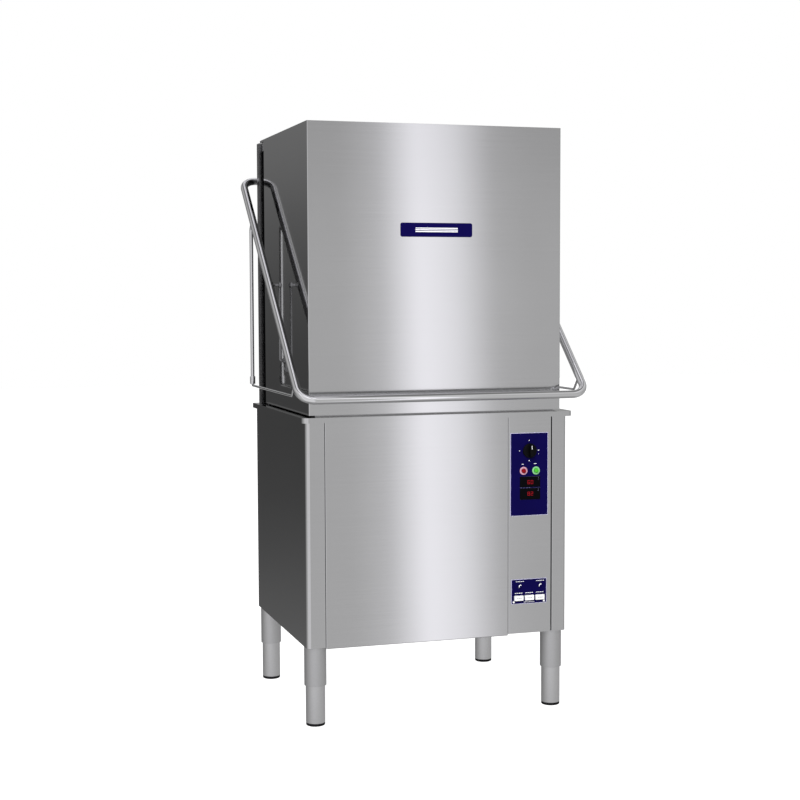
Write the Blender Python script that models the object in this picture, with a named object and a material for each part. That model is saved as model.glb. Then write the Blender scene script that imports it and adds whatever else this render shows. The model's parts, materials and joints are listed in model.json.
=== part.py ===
# Pass-through (hood type) commercial dishwasher.
# Frame: metres, +Z up, X to the right as seen from the front, front faces -Y.
# Origin: centre of the bounding box, on the floor.
import bpy
import bmesh
import math
from mathutils import Vector, Matrix

# ---------------------------------------------------------------- constants
H_TOTAL = 1.500          # hood roof, closed
FLOOR_GAP = 0.0003       # air kept between touching pieces

CAB_HX = 0.3477          # cabinet half width
CAB_Y0 = -0.2962         # cabinet front face
CAB_Y1 = 0.2633          # cabinet rear face
CAB_Z0 = 0.2010          # cabinet underside
SHEET = 0.002            # sheet thickness
CORNER_R = 0.011         # vertical corner radius of the cabinet

DECK_Z = 0.7755          # deck surface
RIM_H = 0.013            # height of the rolled rim
RIM_SIDE = 0.011         # rim overhang at the sides
RIM_FRONT = 0.015        # rim overhang at the front
WASH_C = (0.0, -0.0247)  # centre of the wash arms in plan
TANK_HX = 0.262          # tank opening half width
TANK_HY = 0.225          # tank opening half depth
TANK_Z0 = 0.570          # tank floor

HOOD_HX = 0.3348         # hood half width
HOOD_Y0 = -0.2807        # hood front face
HOOD_YS = 0.2023         # rear edge of the hood's sides
HOOD_YR = 0.2513         # rear edge of the hood's roof
HOOD_Z0 = 0.7790         # lower edge of the hood
HOOD_LIFT = 0.420        # travel of the hood

COL_X = 0.3410           # outer side of the rear columns
COL_Y0 = 0.2343
COL_Y1 = 0.2623
COL_Z1 = 1.4920
WALL_Y = 0.2283          # front of the rear wall of the chamber

ARM_X = 0.3760           # plane of the handle arms
PIV_Y = 0.2903           # axis of the handle shaft
PIV_Z = 1.3915
ARM_ANG = math.atan(0.8796)   # arms slope down to the front
ARM_LEN = 0.8625         # shaft axis to the axis of the front bar
TUBE_R = 0.010           # handle tube
BEND_R = 0.040           # front corners of the handle
BEND_R2 = 0.034          # rear bends of the handle
HANDLE_SWING = math.radians(55.03)

PIN_Y = -0.0397          # link pin on the arm
LINK_X = 0.3500          # plane of the link rods
LINK_Z0 = 0.9050         # pivot of the link on the hood bracket
BRACE_Y = 0.1823         # vertical brace rod
BRACE_Z = 0.8290         # tie rod

LEG_X = 0.3187
LEG_YF = -0.2630
LEG_YR = 0.2370
LEG_R = 0.0243           # adjustable leg tube
SLEEVE_R = 0.0278        # fixed upper sleeve
SLEEVE_Z0 = 0.1020
FOOT_TRAVEL = 0.045

CTRL_X0 = 0.1864         # control section of the front
CTRL_X1 = 0.3047
FRONT_X0 = -0.2984       # front panel
FASCIA = (0.1914, 0.2950, 0.5070, 0.7210)      # x0, x1, z0, z1
KNOB = (0.2438, 0.6750)
STOP_BTN = (0.2271, 0.6232)
START_BTN = (0.2615, 0.6230)
DISP_1 = (0.2174, 0.2736, 0.5808, 0.6080)
DISP_2 = (0.2174, 0.2736, 0.5486, 0.5780)
DOSING = (0.1945, 0.2922, 0.2780, 0.3423)
TRIM_1 = (0.2173, 0.3245)
TRIM_2 = (0.2736, 0.3245)
DBTN_X = (0.2146, 0.2438, 0.2731)
DBTN_Z = 0.2933

SHAFT_R = 0.008
LEVER_R = 0.075          # lever length on the cross shaft
LEVER_A = math.radians(27.5)
SPRING_X = 0.262

# ---------------------------------------------------------------- start clean
for ob in list(bpy.data.objects):
    bpy.data.objects.remove(ob, do_unlink=True)
COLL = bpy.context.scene.collection

# ---------------------------------------------------------------- materials
MATS = {}


def mat(name, rgb, rough, metal):
    if name in MATS:
        return MATS[name]
    m = bpy.data.materials.new(name)
    m.use_nodes = True
    b = m.node_tree.nodes["Principled BSDF"]
    b.inputs["Base Color"].default_value = (rgb[0], rgb[1], rgb[2], 1.0)
    b.inputs["Roughness"].default_value = rough
    b.inputs["Metallic"].default_value = metal
    m.diffuse_color = (rgb[0], rgb[1], rgb[2], 1.0)
    MATS[name] = m
    return m


STEEL = ("brushed_stainless", (0.62, 0.62, 0.63), 0.32, 1.0)
STEEL_IN = ("plain_stainless", (0.55, 0.55, 0.56), 0.42, 1.0)
POLISH = ("polished_stainless", (0.74, 0.74, 0.75), 0.14, 1.0)
NAVY = ("navy_film", (0.006, 0.004, 0.075), 0.35, 0.0)
BLACK = ("black_plastic", (0.012, 0.012, 0.013), 0.5, 0.0)
GLASSY = ("display_black", (0.004, 0.004, 0.005), 0.1, 0.0)
RED = ("red_button", (0.35, 0.01, 0.02), 0.4, 0.0)
GREEN = ("green_button", (0.01, 0.16, 0.05), 0.4, 0.0)
WHITE = ("white_plastic", (0.8, 0.8, 0.8), 0.45, 0.0)
CAST = ("cast_iron_grey", (0.2, 0.21, 0.22), 0.6, 0.6)
GREY = ("grey_plastic", (0.35, 0.36, 0.37), 0.55, 0.0)
SPRING = ("spring_steel", (0.45, 0.45, 0.46), 0.35, 1.0)


# ---------------------------------------------------------------- helpers
def empty(name, loc, parent=None):
    e = bpy.data.objects.new(name, None)
    COLL.objects.link(e)
    e.empty_display_size = 0.05
    if parent is not None:
        e.parent = parent
        e.location = Vector(loc) - parent_loc(parent)
    else:
        e.location = loc
    e["world"] = tuple(loc)
    return e


def parent_loc(e):
    return Vector(e["world"]) if "world" in e else Vector((0, 0, 0))


def finish(name, bm, material, origin=(0, 0, 0), parent=None, smooth=None):
    bmesh.ops.recalc_face_normals(bm, faces=bm.faces[:])
    o = Vector(origin)
    bmesh.ops.translate(bm, verts=bm.verts[:], vec=-o)
    me = bpy.data.meshes.new(name)
    bm.to_mesh(me)
    bm.free()
    ob = bpy.data.objects.new(name, me)
    COLL.objects.link(ob)
    me.materials.append(mat(*material))
    if smooth is not None:
        me.shade_smooth()
        me.set_sharp_from_angle(angle=math.radians(smooth))
    if parent is not None:
        ob.parent = parent
        ob.location = o - parent_loc(parent)
    else:
        ob.location = o
    return ob


def cutter(name, bm):
    ob = finish(name, bm, ("cutter", (1, 0, 1), 0.5, 0.0))
    ob.hide_render = True
    ob.display_type = 'WIRE'
    return ob


def boolean(ob, op, tool):
    m = ob.modifiers.new(op.lower() + "_" + tool.name, 'BOOLEAN')
    m.operation = op
    m.solver = 'EXACT'
    m.object = tool
    return ob


def bm_box(x0, x1, y0, y1, z0, z1):
    bm = bmesh.new()
    v = [bm.verts.new(p) for p in
         ((x0, y0, z0), (x1, y0, z0), (x1, y1, z0), (x0, y1, z0),
          (x0, y0, z1), (x1, y0, z1), (x1, y1, z1), (x0, y1, z1))]
    for f in ((0, 3, 2, 1), (4, 5, 6, 7), (0, 1, 5, 4), (1, 2, 6, 5), (2, 3, 7, 6), (3, 0, 4, 7)):
        bm.faces.new([v[i] for i in f])
    return bm


def bm_prism(pts, axis, a0, a1):
    """Closed prism: polygon pts in the two other axes, extruded along axis."""
    bm = bmesh.new()

    def p3(p, a):
        if axis == 'Z':
            return (p[0], p[1], a)
        if axis == 'Y':
            return (p[0], a, p[1])
        return (a, p[0], p[1])
    lo = [bm.verts.new(p3(p, a0)) for p in pts]
    hi = [bm.verts.new(p3(p, a1)) for p in pts]
    n = len(pts)
    bm.faces.new(lo)
    bm.faces.new(hi)
    for i in range(n):
        j = (i + 1) % n
        bm.faces.new((lo[i], lo[j], hi[j], hi[i]))
    return bm


def bm_loft(rings):
    """Closed body through rings of equal vertex count."""
    bm = bmesh.new()
    vs = [[bm.verts.new(p) for p in r] for r in rings]
    n = len(rings[0])
    for a, b in zip(vs, vs[1:]):
        for i in range(n):
            j = (i + 1) % n
            bm.faces.new((a[i], a[j], b[j], b[i]))
    bm.faces.new(vs[0])
    bm.faces.new(vs[-1])
    return bm


def bm_turn(profile, centre, axis='Z', n=16, phase=0.5):
    """Turned solid: profile is a list of (radius, height), ends capped."""
    rings = []
    for r, h in profile:
        ring = []
        for i in range(n):
            t = 2 * math.pi * (i + phase) / n
            a, b = r * math.cos(t), r * math.sin(t)
            if axis == 'Z':
                p = (centre[0] + a, centre[1] + b, centre[2] + h)
            elif axis == 'Y':
                p = (centre[0] + a, centre[1] + h, centre[2] + b)
            else:
                p = (centre[0] + h, centre[1] + a, centre[2] + b)
            ring.append(p)
        rings.append(ring)
    return bm_loft(rings)


def bm_ring(r_in, r_out, h0, h1, centre, axis='Z', n=16, phase=0.5):
    """Ring with a through bore."""
    bm = bmesh.new()
    loops = []
    for r, h in ((r_out, h0), (r_out, h1), (r_in, h1), (r_in, h0)):
        loop = []
        for i in range(n):
            t = 2 * math.pi * (i + phase) / n
            a, b = r * math.cos(t), r * math.sin(t)
            if axis == 'Z':
                p = (centre[0] + a, centre[1] + b, centre[2] + h)
            elif axis == 'Y':
                p = (centre[0] + a, centre[1] + h, centre[2] + b)
            else:
                p = (centre[0] + h, centre[1] + a, centre[2] + b)
            loop.append(bm.verts.new(p))
        loops.append(loop)
    for k in range(4):
        a, b = loops[k], loops[(k + 1) % 4]
        for i in range(n):
            j = (i + 1) % n
            bm.faces.new((a[i], a[j], b[j], b[i]))
    return bm


def bm_sweep(pts, radii, sides=10):
    """Round bar along a polyline; the radius may change from point to point."""
    pts = [Vector(p) for p in pts]
    n = len(pts)
    tang = []
    for i in range(n):
        a = pts[max(i - 1, 0)]
        b = pts[min(i + 1, n - 1)]
        d1 = (pts[i] - a).normalized() if i > 0 else None
        d2 = (b - pts[i]).normalized() if i < n - 1 else None
        t = (d1 if d2 is None else d2 if d1 is None else (d1 + d2))
        tang.append(t.normalized())
    ref = Vector((0, 0, 1)) if abs(tang[0].z) < 0.8 else Vector((1, 0, 0))
    u = (ref - tang[0] * ref.dot(tang[0])).normalized()
    rings = []
    for i in range(n):
        if i:
            axis = tang[i - 1].cross(tang[i])
            if axis.length > 1e-9:
                ang = tang[i - 1].angle(tang[i])
                u = Matrix.Rotation(ang, 3, axis.normalized()) @ u
            u = (u - tang[i] * u.dot(tang[i])).normalized()
        w = tang[i].cross(u)
        # mitre: keep the round section in each straight run
        k = 1.0
        ring = []
        for s in range(sides):
            t = 2 * math.pi * (s + 0.5) / sides
            ring.append(tuple(pts[i] + (u * math.cos(t) + w * math.sin(t)) * radii[i] * k))
        rings.append(ring)
    return bm_loft(rings)


def rounded_path(pts, radii, seg=6):
    """Polyline with its inner corners rounded by arcs."""
    pts = [Vector(p) for p in pts]
    out = [pts[0]]
    for i in range(1, len(pts) - 1):
        a, p, b = pts[i - 1], pts[i], pts[i + 1]
        r = radii[i - 1]
        d1 = (a - p).normalized()
        d2 = (b - p).normalized()
        half = d1.angle(d2) / 2
        cut = r / math.tan(half)
        c = p + (d1 + d2).normalized() * (r / math.sin(half))
        s = p + d1 * cut
        e = p + d2 * cut
        v1 = s - c
        v2 = e - c
        ax = v1.cross(v2).normalized()
        ang = v1.angle(v2)
        for k in range(seg + 1):
            out.append(c + Matrix.Rotation(ang * k / seg, 3, ax) @ v1)
    out.append(pts[-1])
    return out


def arc(cx, cy, r, a0, a1, n):
    return [(cx + r * math.cos(math.radians(a0 + (a1 - a0) * i / n)),
             cy + r * math.sin(math.radians(a0 + (a1 - a0) * i / n))) for i in range(n + 1)]


def rrect(x0, x1, y0, y1, r, n=4):
    return (arc(x0 + r, y0 + r, r, 180, 270, n) + arc(x1 - r, y0 + r, r, 270, 360, n) +
            arc(x1 - r, y1 - r, r, 0, 90, n) + arc(x0 + r, y1 - r, r, 90, 180, n))


# ---------------------------------------------------------------- joint axes
base = empty("axis_base", (0, 0, 0))
hood_axis = empty("axis_hood_lift", (0, 0, HOOD_Z0), base)
handle_axis = empty("axis_handle", (0, PIV_Y, PIV_Z), base)
arm_dir = Vector((0, -math.cos(ARM_ANG), -math.sin(ARM_ANG)))
PIN_S = (PIV_Y - PIN_Y) / math.cos(ARM_ANG)
PIN_Z = PIV_Z - PIN_S * math.sin(ARM_ANG)

# ================================================================ base cabinet
# deck: plate with a folded rim and the tank opening
rim = ((-0.0130, 0.0013), (-0.0118, 0.0), (-0.0015, 0.0), (-0.0004, 0.0005), (0.0, 0.0015))
rings = []
for dz, inset in rim:
    x = CAB_HX + RIM_SIDE - inset
    y0 = CAB_Y0 - RIM_FRONT + inset
    y1 = CAB_Y1
    r = 0.016 - inset
    pts = (arc(-x + r, y0 + r, r, 180, 270, 4) + arc(x - r, y0 + r, r, 270, 360, 4) + [(x, y1), (-x, y1)])
    rings.append([(p[0], p[1], DECK_Z + dz) for p in pts])
deck = finish("deck", bm_loft(rings), STEEL, (0, 0, DECK_Z), base, 40)
boolean(deck, 'DIFFERENCE', cutter("cut_deck_under", bm_box(
    -CAB_HX + 0.0005, CAB_HX - 0.0005, CAB_Y0 + 0.0005, CAB_Y1 + 0.05, DECK_Z - 0.05, DECK_Z - SHEET)))
boolean(deck, 'DIFFERENCE', cutter("cut_deck_opening", bm_prism(
    rrect(-TANK_HX, TANK_HX, WASH_C[1] - TANK_HY, WASH_C[1] + TANK_HY, 0.03, 3), 'Z', DECK_Z - 0.05, DECK_Z + 0.05)))
boolean(deck, 'DIFFERENCE', cutter("cut_deck_riser", bm_turn(
    [(0.0128, -0.05), (0.0128, 0.05)], (0, 0.2445, DECK_Z), 'Z', 12)))

# side panels wrap round the front corners
TOP_Z = DECK_Z - RIM_H - FLOOR_GAP
for side, sx in (("left", -1), ("right", 1)):
    x_end = FRONT_X0 if sx < 0 else CTRL_X1
    xe = abs(x_end) + FLOOR_GAP * 2
    outer = [(CAB_HX, CAB_Y1)] + [(CAB_HX, CAB_Y0 + CORNER_R)] + arc(
        CAB_HX - CORNER_R, CAB_Y0 + CORNER_R, CORNER_R, 0, -90, 5)[1:] + [(xe, CAB_Y0)]
    ri = CORNER_R - SHEET
    inner = [(xe, CAB_Y0 + 0.014), (xe + SHEET, CAB_Y0 + 0.014), (xe + SHEET, CAB_Y0 + SHEET)] + arc(
        CAB_HX - CORNER_R, CAB_Y0 + CORNER_R, ri, -90, 0, 5) + [(CAB_HX - SHEET, CAB_Y1)]
    pts = [(sx * p[0], p[1]) for p in outer + inner]
    finish("side_panel_" + side, bm_prism(pts, 'Z', CAB_Z0, TOP_Z), STEEL, (sx * CAB_HX, 0, CAB_Z0), base, 40)


def pan(name, x0, x1, z0, z1, material, parent):
    """Folded front: plate with two returns behind its vertical edges."""
    y = CAB_Y0
    d = 0.014
    pts = [(x0, y), (x1, y), (x1, y + d), (x1 - SHEET, y + d), (x1 - SHEET, y + SHEET),
           (x0 + SHEET, y + SHEET), (x0 + SHEET, y + d), (x0, y + d)]
    return finish(name, bm_prism(pts, 'Z', z0, z1), material, (x0, y, z0), parent)


pan("front_panel", FRONT_X0, CTRL_X0 - 0.0008, 0.1975, TOP_Z, STEEL, base)
ctrl = pan("control_cover", CTRL_X0, CTRL_X1, CAB_Z0, TOP_Z, STEEL, base)
boolean(ctrl, 'DIFFERENCE', cutter("cut_ctrl_window", bm_box(
    FASCIA[0] + 0.012, FASCIA[1] - 0.012, CAB_Y0 - 0.02, CAB_Y0 + 0.01, FASCIA[2] + 0.02, FASCIA[3] - 0.012)))
boolean(ctrl, 'DIFFERENCE', cutter("cut_dosing_window", bm_box(
    DOSING[0] + 0.006, DOSING[1] - 0.006, CAB_Y0 - 0.02, CAB_Y0 + 0.01, DOSING[2] + 0.007, DOSING[3] - 0.006)))

# rear panel and base pan
finish("rear_panel", bm_box(-CAB_HX + SHEET + FLOOR_GAP, CAB_HX - SHEET - FLOOR_GAP, CAB_Y1 - SHEET, CAB_Y1,
                            CAB_Z0 + 0.0125, DECK_Z - SHEET - FLOOR_GAP), STEEL, (0, CAB_Y1, CAB_Z0), base)
bp = finish("base_pan", bm_box(-CAB_HX + SHEET + FLOOR_GAP, CAB_HX - SHEET - FLOOR_GAP,
                               CAB_Y0 + 0.0145, CAB_Y1, CAB_Z0, CAB_Z0 + 0.012), STEEL_IN, (0, 0, CAB_Z0), base)
boolean(bp, 'DIFFERENCE', cutter("cut_base_pan", bm_box(
    -CAB_HX + 0.0045, CAB_HX - 0.0045, CAB_Y0 + 0.0165, CAB_Y1 - 0.0022, CAB_Z0 + 0.002, CAB_Z0 + 0.05)))

# legs: fixed sleeve, adjustable tube with its foot
for tag, lx, ly in (("front_left", -LEG_X, LEG_YF), ("front_right", LEG_X, LEG_YF),
                    ("rear_left", -LEG_X, LEG_YR), ("rear_right", LEG_X, LEG_YR)):
    c = (lx, ly, 0.0)
    n = 20
    # blind bore from below
    prof = [(LEG_R + 0.0006, 0.1900), (LEG_R + 0.0006, SLEEVE_Z0), (SLEEVE_R - 0.0006, SLEEVE_Z0),
            (SLEEVE_R, SLEEVE_Z0 + 0.0008), (SLEEVE_R, CAB_Z0 - FLOOR_GAP)]
    finish("leg_sleeve_" + tag, bm_turn(prof, c, 'Z', n), STEEL, (lx, ly, CAB_Z0), base, 40)
    prof = [(LEG_R - 0.002, 0.0120), (LEG_R - 0.002, 0.1870), (LEG_R, 0.1870), (LEG_R, 0.0078), (0.0228, 0.0075),
            (0.0228, 0.0012), (0.0205, 0.0)]
    foot_axis = empty("axis_foot_" + tag, (lx, ly, SLEEVE_Z0), base)
    finish("leg_foot_" + tag, bm_turn(prof, c, 'Z', n), STEEL, (lx, ly, SLEEVE_Z0), foot_axis, 40)

# ================================================================ rear structure
for side, sx in (("left", -1), ("right", 1)):
    t = SHEET
    pts = [(COL_X - 0.0053, COL_Y0), (COL_X, COL_Y0), (COL_X, COL_Y1), (0.300, COL_Y1),
           (0.300, COL_Y1 - t), (COL_X - t, COL_Y1 - t), (COL_X - t, COL_Y0 + t), (COL_X - 0.0053, COL_Y0 + t)]
    finish("rear_column_" + side, bm_prism([(sx * p[0], p[1]) for p in pts], 'Z', DECK_Z + FLOOR_GAP, COL_Z1),
           STEEL, (sx * COL_X, COL_Y1, DECK_Z), base)
    # bearing block of the cross shaft, on the rear of the column
    by0, by1 = COL_Y1 + FLOOR_GAP, PIV_Y + 0.0175
    blk = finish("shaft_bearing_" + side, bm_prism(
        [(by0, PIV_Z - 0.034), (by1 - 0.010, PIV_Z - 0.034), (by1, PIV_Z - 0.016), (by1, PIV_Z + 0.012),
         (by1 - 0.006, PIV_Z + 0.018), (by0, PIV_Z + 0.030)], 'X',
        min(sx * 0.3115, sx * 0.3275), max(sx * 0.3115, sx * 0.3275)), GREY, (sx * 0.3195, PIV_Y, PIV_Z), base)
    boolean(blk, 'DIFFERENCE', cutter("cut_bearing_" + side, bm_turn(
        [(TUBE_R + 0.0005, -0.05), (TUBE_R + 0.0005, 0.05)], (sx * 0.3195, PIV_Y, PIV_Z), 'X', 14)))

wall = finish("rear_wall", bm_prism(
    [(-0.3340, WALL_Y), (0.3340, WALL_Y), (0.3340, WALL_Y + 0.024), (0.3320, WALL_Y + 0.024),
     (0.3320, WALL_Y + 0.0015), (-0.3320, WALL_Y + 0.0015), (-0.3320, WALL_Y + 0.024), (-0.3340, WALL_Y + 0.024)],
    'Z', DECK_Z + FLOOR_GAP, COL_Z1), STEEL_IN, (0, WALL_Y, DECK_Z), base)
boolean(wall, 'DIFFERENCE', cutter("cut_wall_riser", bm_turn([(0.0128, -0.02), (0.0128, 0.02)], (0, WALL_Y, 1.2620), 'Y', 12)))

# anchor bar for the counterbalance springs, folded channel across the back
SPRING_Y = PIV_Y + LEVER_R * math.cos(LEVER_A)
REAR_END = 0.3673
ab = finish("spring_anchor_bar", bm_prism(
    [(COL_Y1 + FLOOR_GAP, 0.842), (COL_Y1 + FLOOR_GAP + 0.003, 0.842), (COL_Y1 + FLOOR_GAP + 0.003, 0.877),
     (REAR_END - 0.003, 0.877), (REAR_END - 0.003, 0.866), (REAR_END, 0.866), (REAR_END, 0.880), (COL_Y1 + FLOOR_GAP, 0.880)],
    'X', -0.3050, 0.3050), STEEL_IN, (0, COL_Y1, 0.880), base)
for side, sx in (("left", -1), ("right", 1)):
    boolean(ab, 'UNION', cutter("add_anchor_pin_" + side, bm_sweep(
        [(sx * SPRING_X, SPRING_Y, 0.878), (sx * SPRING_X, SPRING_Y, 0.893)], [0.0035, 0.0035], 8)))

# ================================================================ hood
hood = finish("hood_shell", bm_box(-HOOD_HX, HOOD_HX, HOOD_Y0, HOOD_YR, HOOD_Z0, H_TOTAL), STEEL,
              (0, 0, HOOD_Z0), hood_axis)
t = SHEET
boolean(hood, 'DIFFERENCE', cutter("cut_hood_inside", bm_box(
    -HOOD_HX + t, HOOD_HX - t, HOOD_Y0 + t, HOOD_YR - t, HOOD_Z0 - 0.05, H_TOTAL - t)))
boolean(hood, 'DIFFERENCE', cutter("cut_hood_rear", bm_box(
    -HOOD_HX - 0.05, HOOD_HX + 0.05, HOOD_YS, HOOD_YR + 0.05, HOOD_Z0 - 0.05, H_TOTAL - 0.006)))
# inner roof panel
lin = finish("hood_roof_liner", bm_box(-HOOD_HX + t + 0.0005, HOOD_HX - t - 0.0005, HOOD_Y0 + t + 0.0005, WALL_Y - 0.003,
                                       1.4700, H_TOTAL - t - 0.0005), STEEL_IN, (0, 0, 1.47), hood_axis)
boolean(lin, 'DIFFERENCE', cutter("cut_roof_liner", bm_box(
    -HOOD_HX + 2 * t + 0.0005, HOOD_HX - 2 * t - 0.0005, HOOD_Y0 + 2 * t + 0.0005, WALL_Y - 0.005, 1.4715, H_TOTAL + 0.05)))
# name badge without lettering
finish("hood_badge", bm_prism(rrect(-0.0967, 0.0929, 1.2198, 1.2549, 0.006, 3), 'Y', HOOD_Y0 - 0.0018, HOOD_Y0 - FLOOR_GAP),
       NAVY, (0, HOOD_Y0, 1.2375), hood_axis)
for side, sx in (("left", -1), ("right", 1)):
    # glide strip behind the side sheet, with a lip that closes the rear slot
    finish("hood_runner_" + side, bm_prism(
        [(sx * 0.3212, HOOD_YS - 0.012), (sx * 0.3322, HOOD_YS - 0.012), (sx * 0.3322, HOOD_YS + 0.0005), (sx * 0.3345, HOOD_YS + 0.0005),
         (sx * 0.3345, WALL_Y - 0.001), (sx * 0.3212, WALL_Y - 0.001)], 'Z', HOOD_Z0 + 0.001, 1.4690), BLACK,
           (sx * 0.327, HOOD_YS, HOOD_Z0), hood_axis)
    # bracket for the link rod on the hood side: plate with a boss
    br = finish("hood_bracket_" + side, bm_box(
        min(sx * 0.3351, sx * 0.3380), max(sx * 0.3351, sx * 0.3380), PIN_Y - 0.012, PIN_Y + 0.012, LINK_Z0 - 0.030, LINK_Z0 + 0.012),
        STEEL, (sx * 0.3380, PIN_Y, LINK_Z0), hood_axis)
    boolean(br, 'UNION', cutter("add_bracket_boss_" + side, bm_turn(
        [(0.007, sx * 0.3365), (0.007, sx * 0.3425)], (0, PIN_Y, LINK_Z0), 'X', 10)))

# ================================================================ lift handle
P = Vector((0, PIV_Y, PIV_Z))
front = P + arm_dir * ARM_LEN
LEG_IN = 0.3003


def hp(x, s):
    q = P + arm_dir * s
    return (x, q.y, q.z)


path = rounded_path([hp(-LEG_IN, 0), hp(-ARM_X, 0), hp(-ARM_X, ARM_LEN), hp(ARM_X, ARM_LEN), hp(ARM_X, 0), hp(LEG_IN, 0)],
                    [BEND_R2, BEND_R, BEND_R, BEND_R2], 6)
lift = finish("lift_handle", bm_sweep(path, [TUBE_R] * len(path), 12), POLISH, (0, PIV_Y, PIV_Z), handle_axis, 40)
for side, sx in (("left", -1), ("right", 1)):
    boolean(lift, 'UNION', cutter("add_link_pin_" + side, bm_turn(
        [(0.0040, sx * 0.3740), (0.0040, sx * 0.3440)], (0, PIN_Y, PIN_Z), 'X', 10)))

# brace on each arm: vertical rod, ferrule, tie rod, hook
nrm = Vector((0, -math.sin(ARM_ANG), math.cos(ARM_ANG)))


def on_arm(y):
    s = (PIV_Y - y) / math.cos(ARM_ANG)
    return P + arm_dir * s


for side, sx in (("left", -1), ("right", 1)):
    top = on_arm(BRACE_Y - 0.0215) - nrm * (TUBE_R + 0.0006)
    low = on_arm(-0.3090) - nrm * (TUBE_R + 0.0006)
    x = sx * ARM_X
    knee = top - nrm * ((BRACE_Y - top.y) / math.sin(ARM_ANG))
    upper = rounded_path([(x, top.y, top.z), (x, BRACE_Y, knee.z), (x, BRACE_Y, 0.8522)], [0.014], 4)
    pts = [tuple(p) for p in upper]
    rad = [0.005] * len(pts)
    pts += [(x, BRACE_Y, 0.8518), (x, BRACE_Y, 0.8338), (x, BRACE_Y, 0.8334)]
    rad += [0.0072, 0.0072, 0.0032]
    heel = low - nrm * ((low.z - BRACE_Z) / math.cos(ARM_ANG))
    hk = (x, heel.y, BRACE_Z)
    tail = rounded_path([(x, BRACE_Y, 0.8334), (x, BRACE_Y, BRACE_Z), hk, (x, low.y, low.z)], [0.0035, 0.008], 4)[1:]
    pts += [tuple(p) for p in tail]
    rad += [0.0032] * len(tail)
    finish("handle_brace_" + side, bm_sweep(pts, rad, 8), POLISH, (x, PIV_Y, PIV_Z), handle_axis, 40)

# cross shaft with a lever each side
shaft = finish("counterbalance_shaft", bm_sweep([(-0.2999, PIV_Y, PIV_Z), (0.2999, PIV_Y, PIV_Z)], [SHAFT_R] * 2, 12),
               STEEL_IN, (0, PIV_Y, PIV_Z), handle_axis, 40)
tip = Vector((0, SPRING_Y, PIV_Z + LEVER_R * math.sin(LEVER_A)))
back = (tip - P).normalized()
up = Vector((0, -back.z, back.y))
for side, sx in (("left", -1), ("right", 1)):
    pts = []
    for k in range(7):
        a = math.radians(90 + 180 * k / 6)
        q = P + (back * math.cos(a) + up * math.sin(a)) * 0.016
        pts.append((q.y, q.z))
    for k in range(7):
        a = math.radians(-90 + 180 * k / 6)
        q = tip + (back * math.cos(a) + up * math.sin(a)) * 0.0085
        pts.append((q.y, q.z))
    boolean(shaft, 'UNION', cutter("add_lever_" + side, bm_prism(pts, 'X', sx * 0.250 - 0.003, sx * 0.250 + 0.003)))
    boolean(shaft, 'UNION', cutter("add_lever_pin_" + side, bm_turn(
        [(0.0035, min(sx * 0.249, sx * 0.268)), (0.0035, max(sx * 0.249, sx * 0.268))], (0, tip.y, tip.z), 'X', 8)))

# counterbalance springs
for side, sx in (("left", -1), ("right", 1)):
    turns, per = 13, 8
    z0, z1 = 0.9200, 1.3850
    cx, cy = sx * SPRING_X, SPRING_Y
    pts = [(cx, cy, 0.8934), (cx, cy, 0.905)]
    for i in range(turns * per + 1):
        a = 2 * math.pi * i / per
        r = 0.0085 * min(1.0, i / 4.0, (turns * per - i) / 4.0 + 0.001)
        pts.append((cx + r * math.cos(a), cy + r * math.sin(a), z0 + (z1 - z0) * i / (turns * per)))
    pts += [(cx, cy, z1 + 0.012), (cx, cy, tip.z - 0.0039)]
    finish("counterbalance_spring_" + side, bm_sweep(pts, [0.0018] * len(pts), 5), SPRING, (cx, cy, tip.z), base, 60)

# ================================================================ link rods
for side, sx in (("left", -1), ("right", 1)):
    ax = empty("axis_link_" + side, (sx * LINK_X, PIN_Y, PIN_Z), handle_axis)
    x = sx * LINK_X
    # eye round the arm pin
    eye = finish("link_rod_" + side, bm_ring(0.0046, 0.0080, -0.0028, 0.0028, (x, PIN_Y, PIN_Z), 'X', 14), POLISH,
                 (x, PIN_Y, PIN_Z), ax, 40)
    rod = rounded_path([(x, PIN_Y, PIN_Z - 0.0066), (x, PIN_Y, LINK_Z0), (sx * 0.3430, PIN_Y, LINK_Z0)], [0.0045], 4)
    boolean(eye, 'UNION', cutter("add_link_rod_" + side, bm_sweep(rod, [0.0030] * len(rod), 8)))

# ================================================================ controls
FY0, FY1 = CAB_Y0 - 0.0015, CAB_Y0 - FLOOR_GAP
fas = finish("control_fascia", bm_box(FASCIA[0], FASCIA[1], FY0, FY1, FASCIA[2], FASCIA[3]), NAVY,
             ((FASCIA[0] + FASCIA[1]) / 2, FY0, (FASCIA[2] + FASCIA[3]) / 2), base)
for nm, (cx, cz), r in (("knob", KNOB, 0.0050), ("stop", STOP_BTN, 0.0072), ("start", START_BTN, 0.0072)):
    boolean(fas, 'DIFFERENCE', cutter("cut_fascia_" + nm, bm_turn([(r, -0.02), (r, 0.02)], (cx, FY0, cz), 'Y', 16)))
for nm, d in (("disp1", DISP_1), ("disp2", DISP_2)):
    boolean(fas, 'DIFFERENCE', cutter("cut_fascia_" + nm, bm_box(d[0] - 0.0003, d[1] + 0.0003, FY0 - 0.02, FY1 + 0.02,
                                                                d[2] - 0.0003, d[3] + 0.0003)))
kx, kz = KNOB
kaxis = empty("axis_program_knob", (kx, FY0, kz), base)
finish("program_knob", bm_turn([(0.0042, 0.018), (0.0042, -0.0008), (0.0190, -0.0009), (0.0190, -0.0040), (0.0172, -0.0050),
                                (0.0160, -0.0165), (0.0150, -0.0178)], (kx, FY0, kz), 'Y', 24), BLACK,
       (kx, FY0, kz), kaxis, 30)
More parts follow.
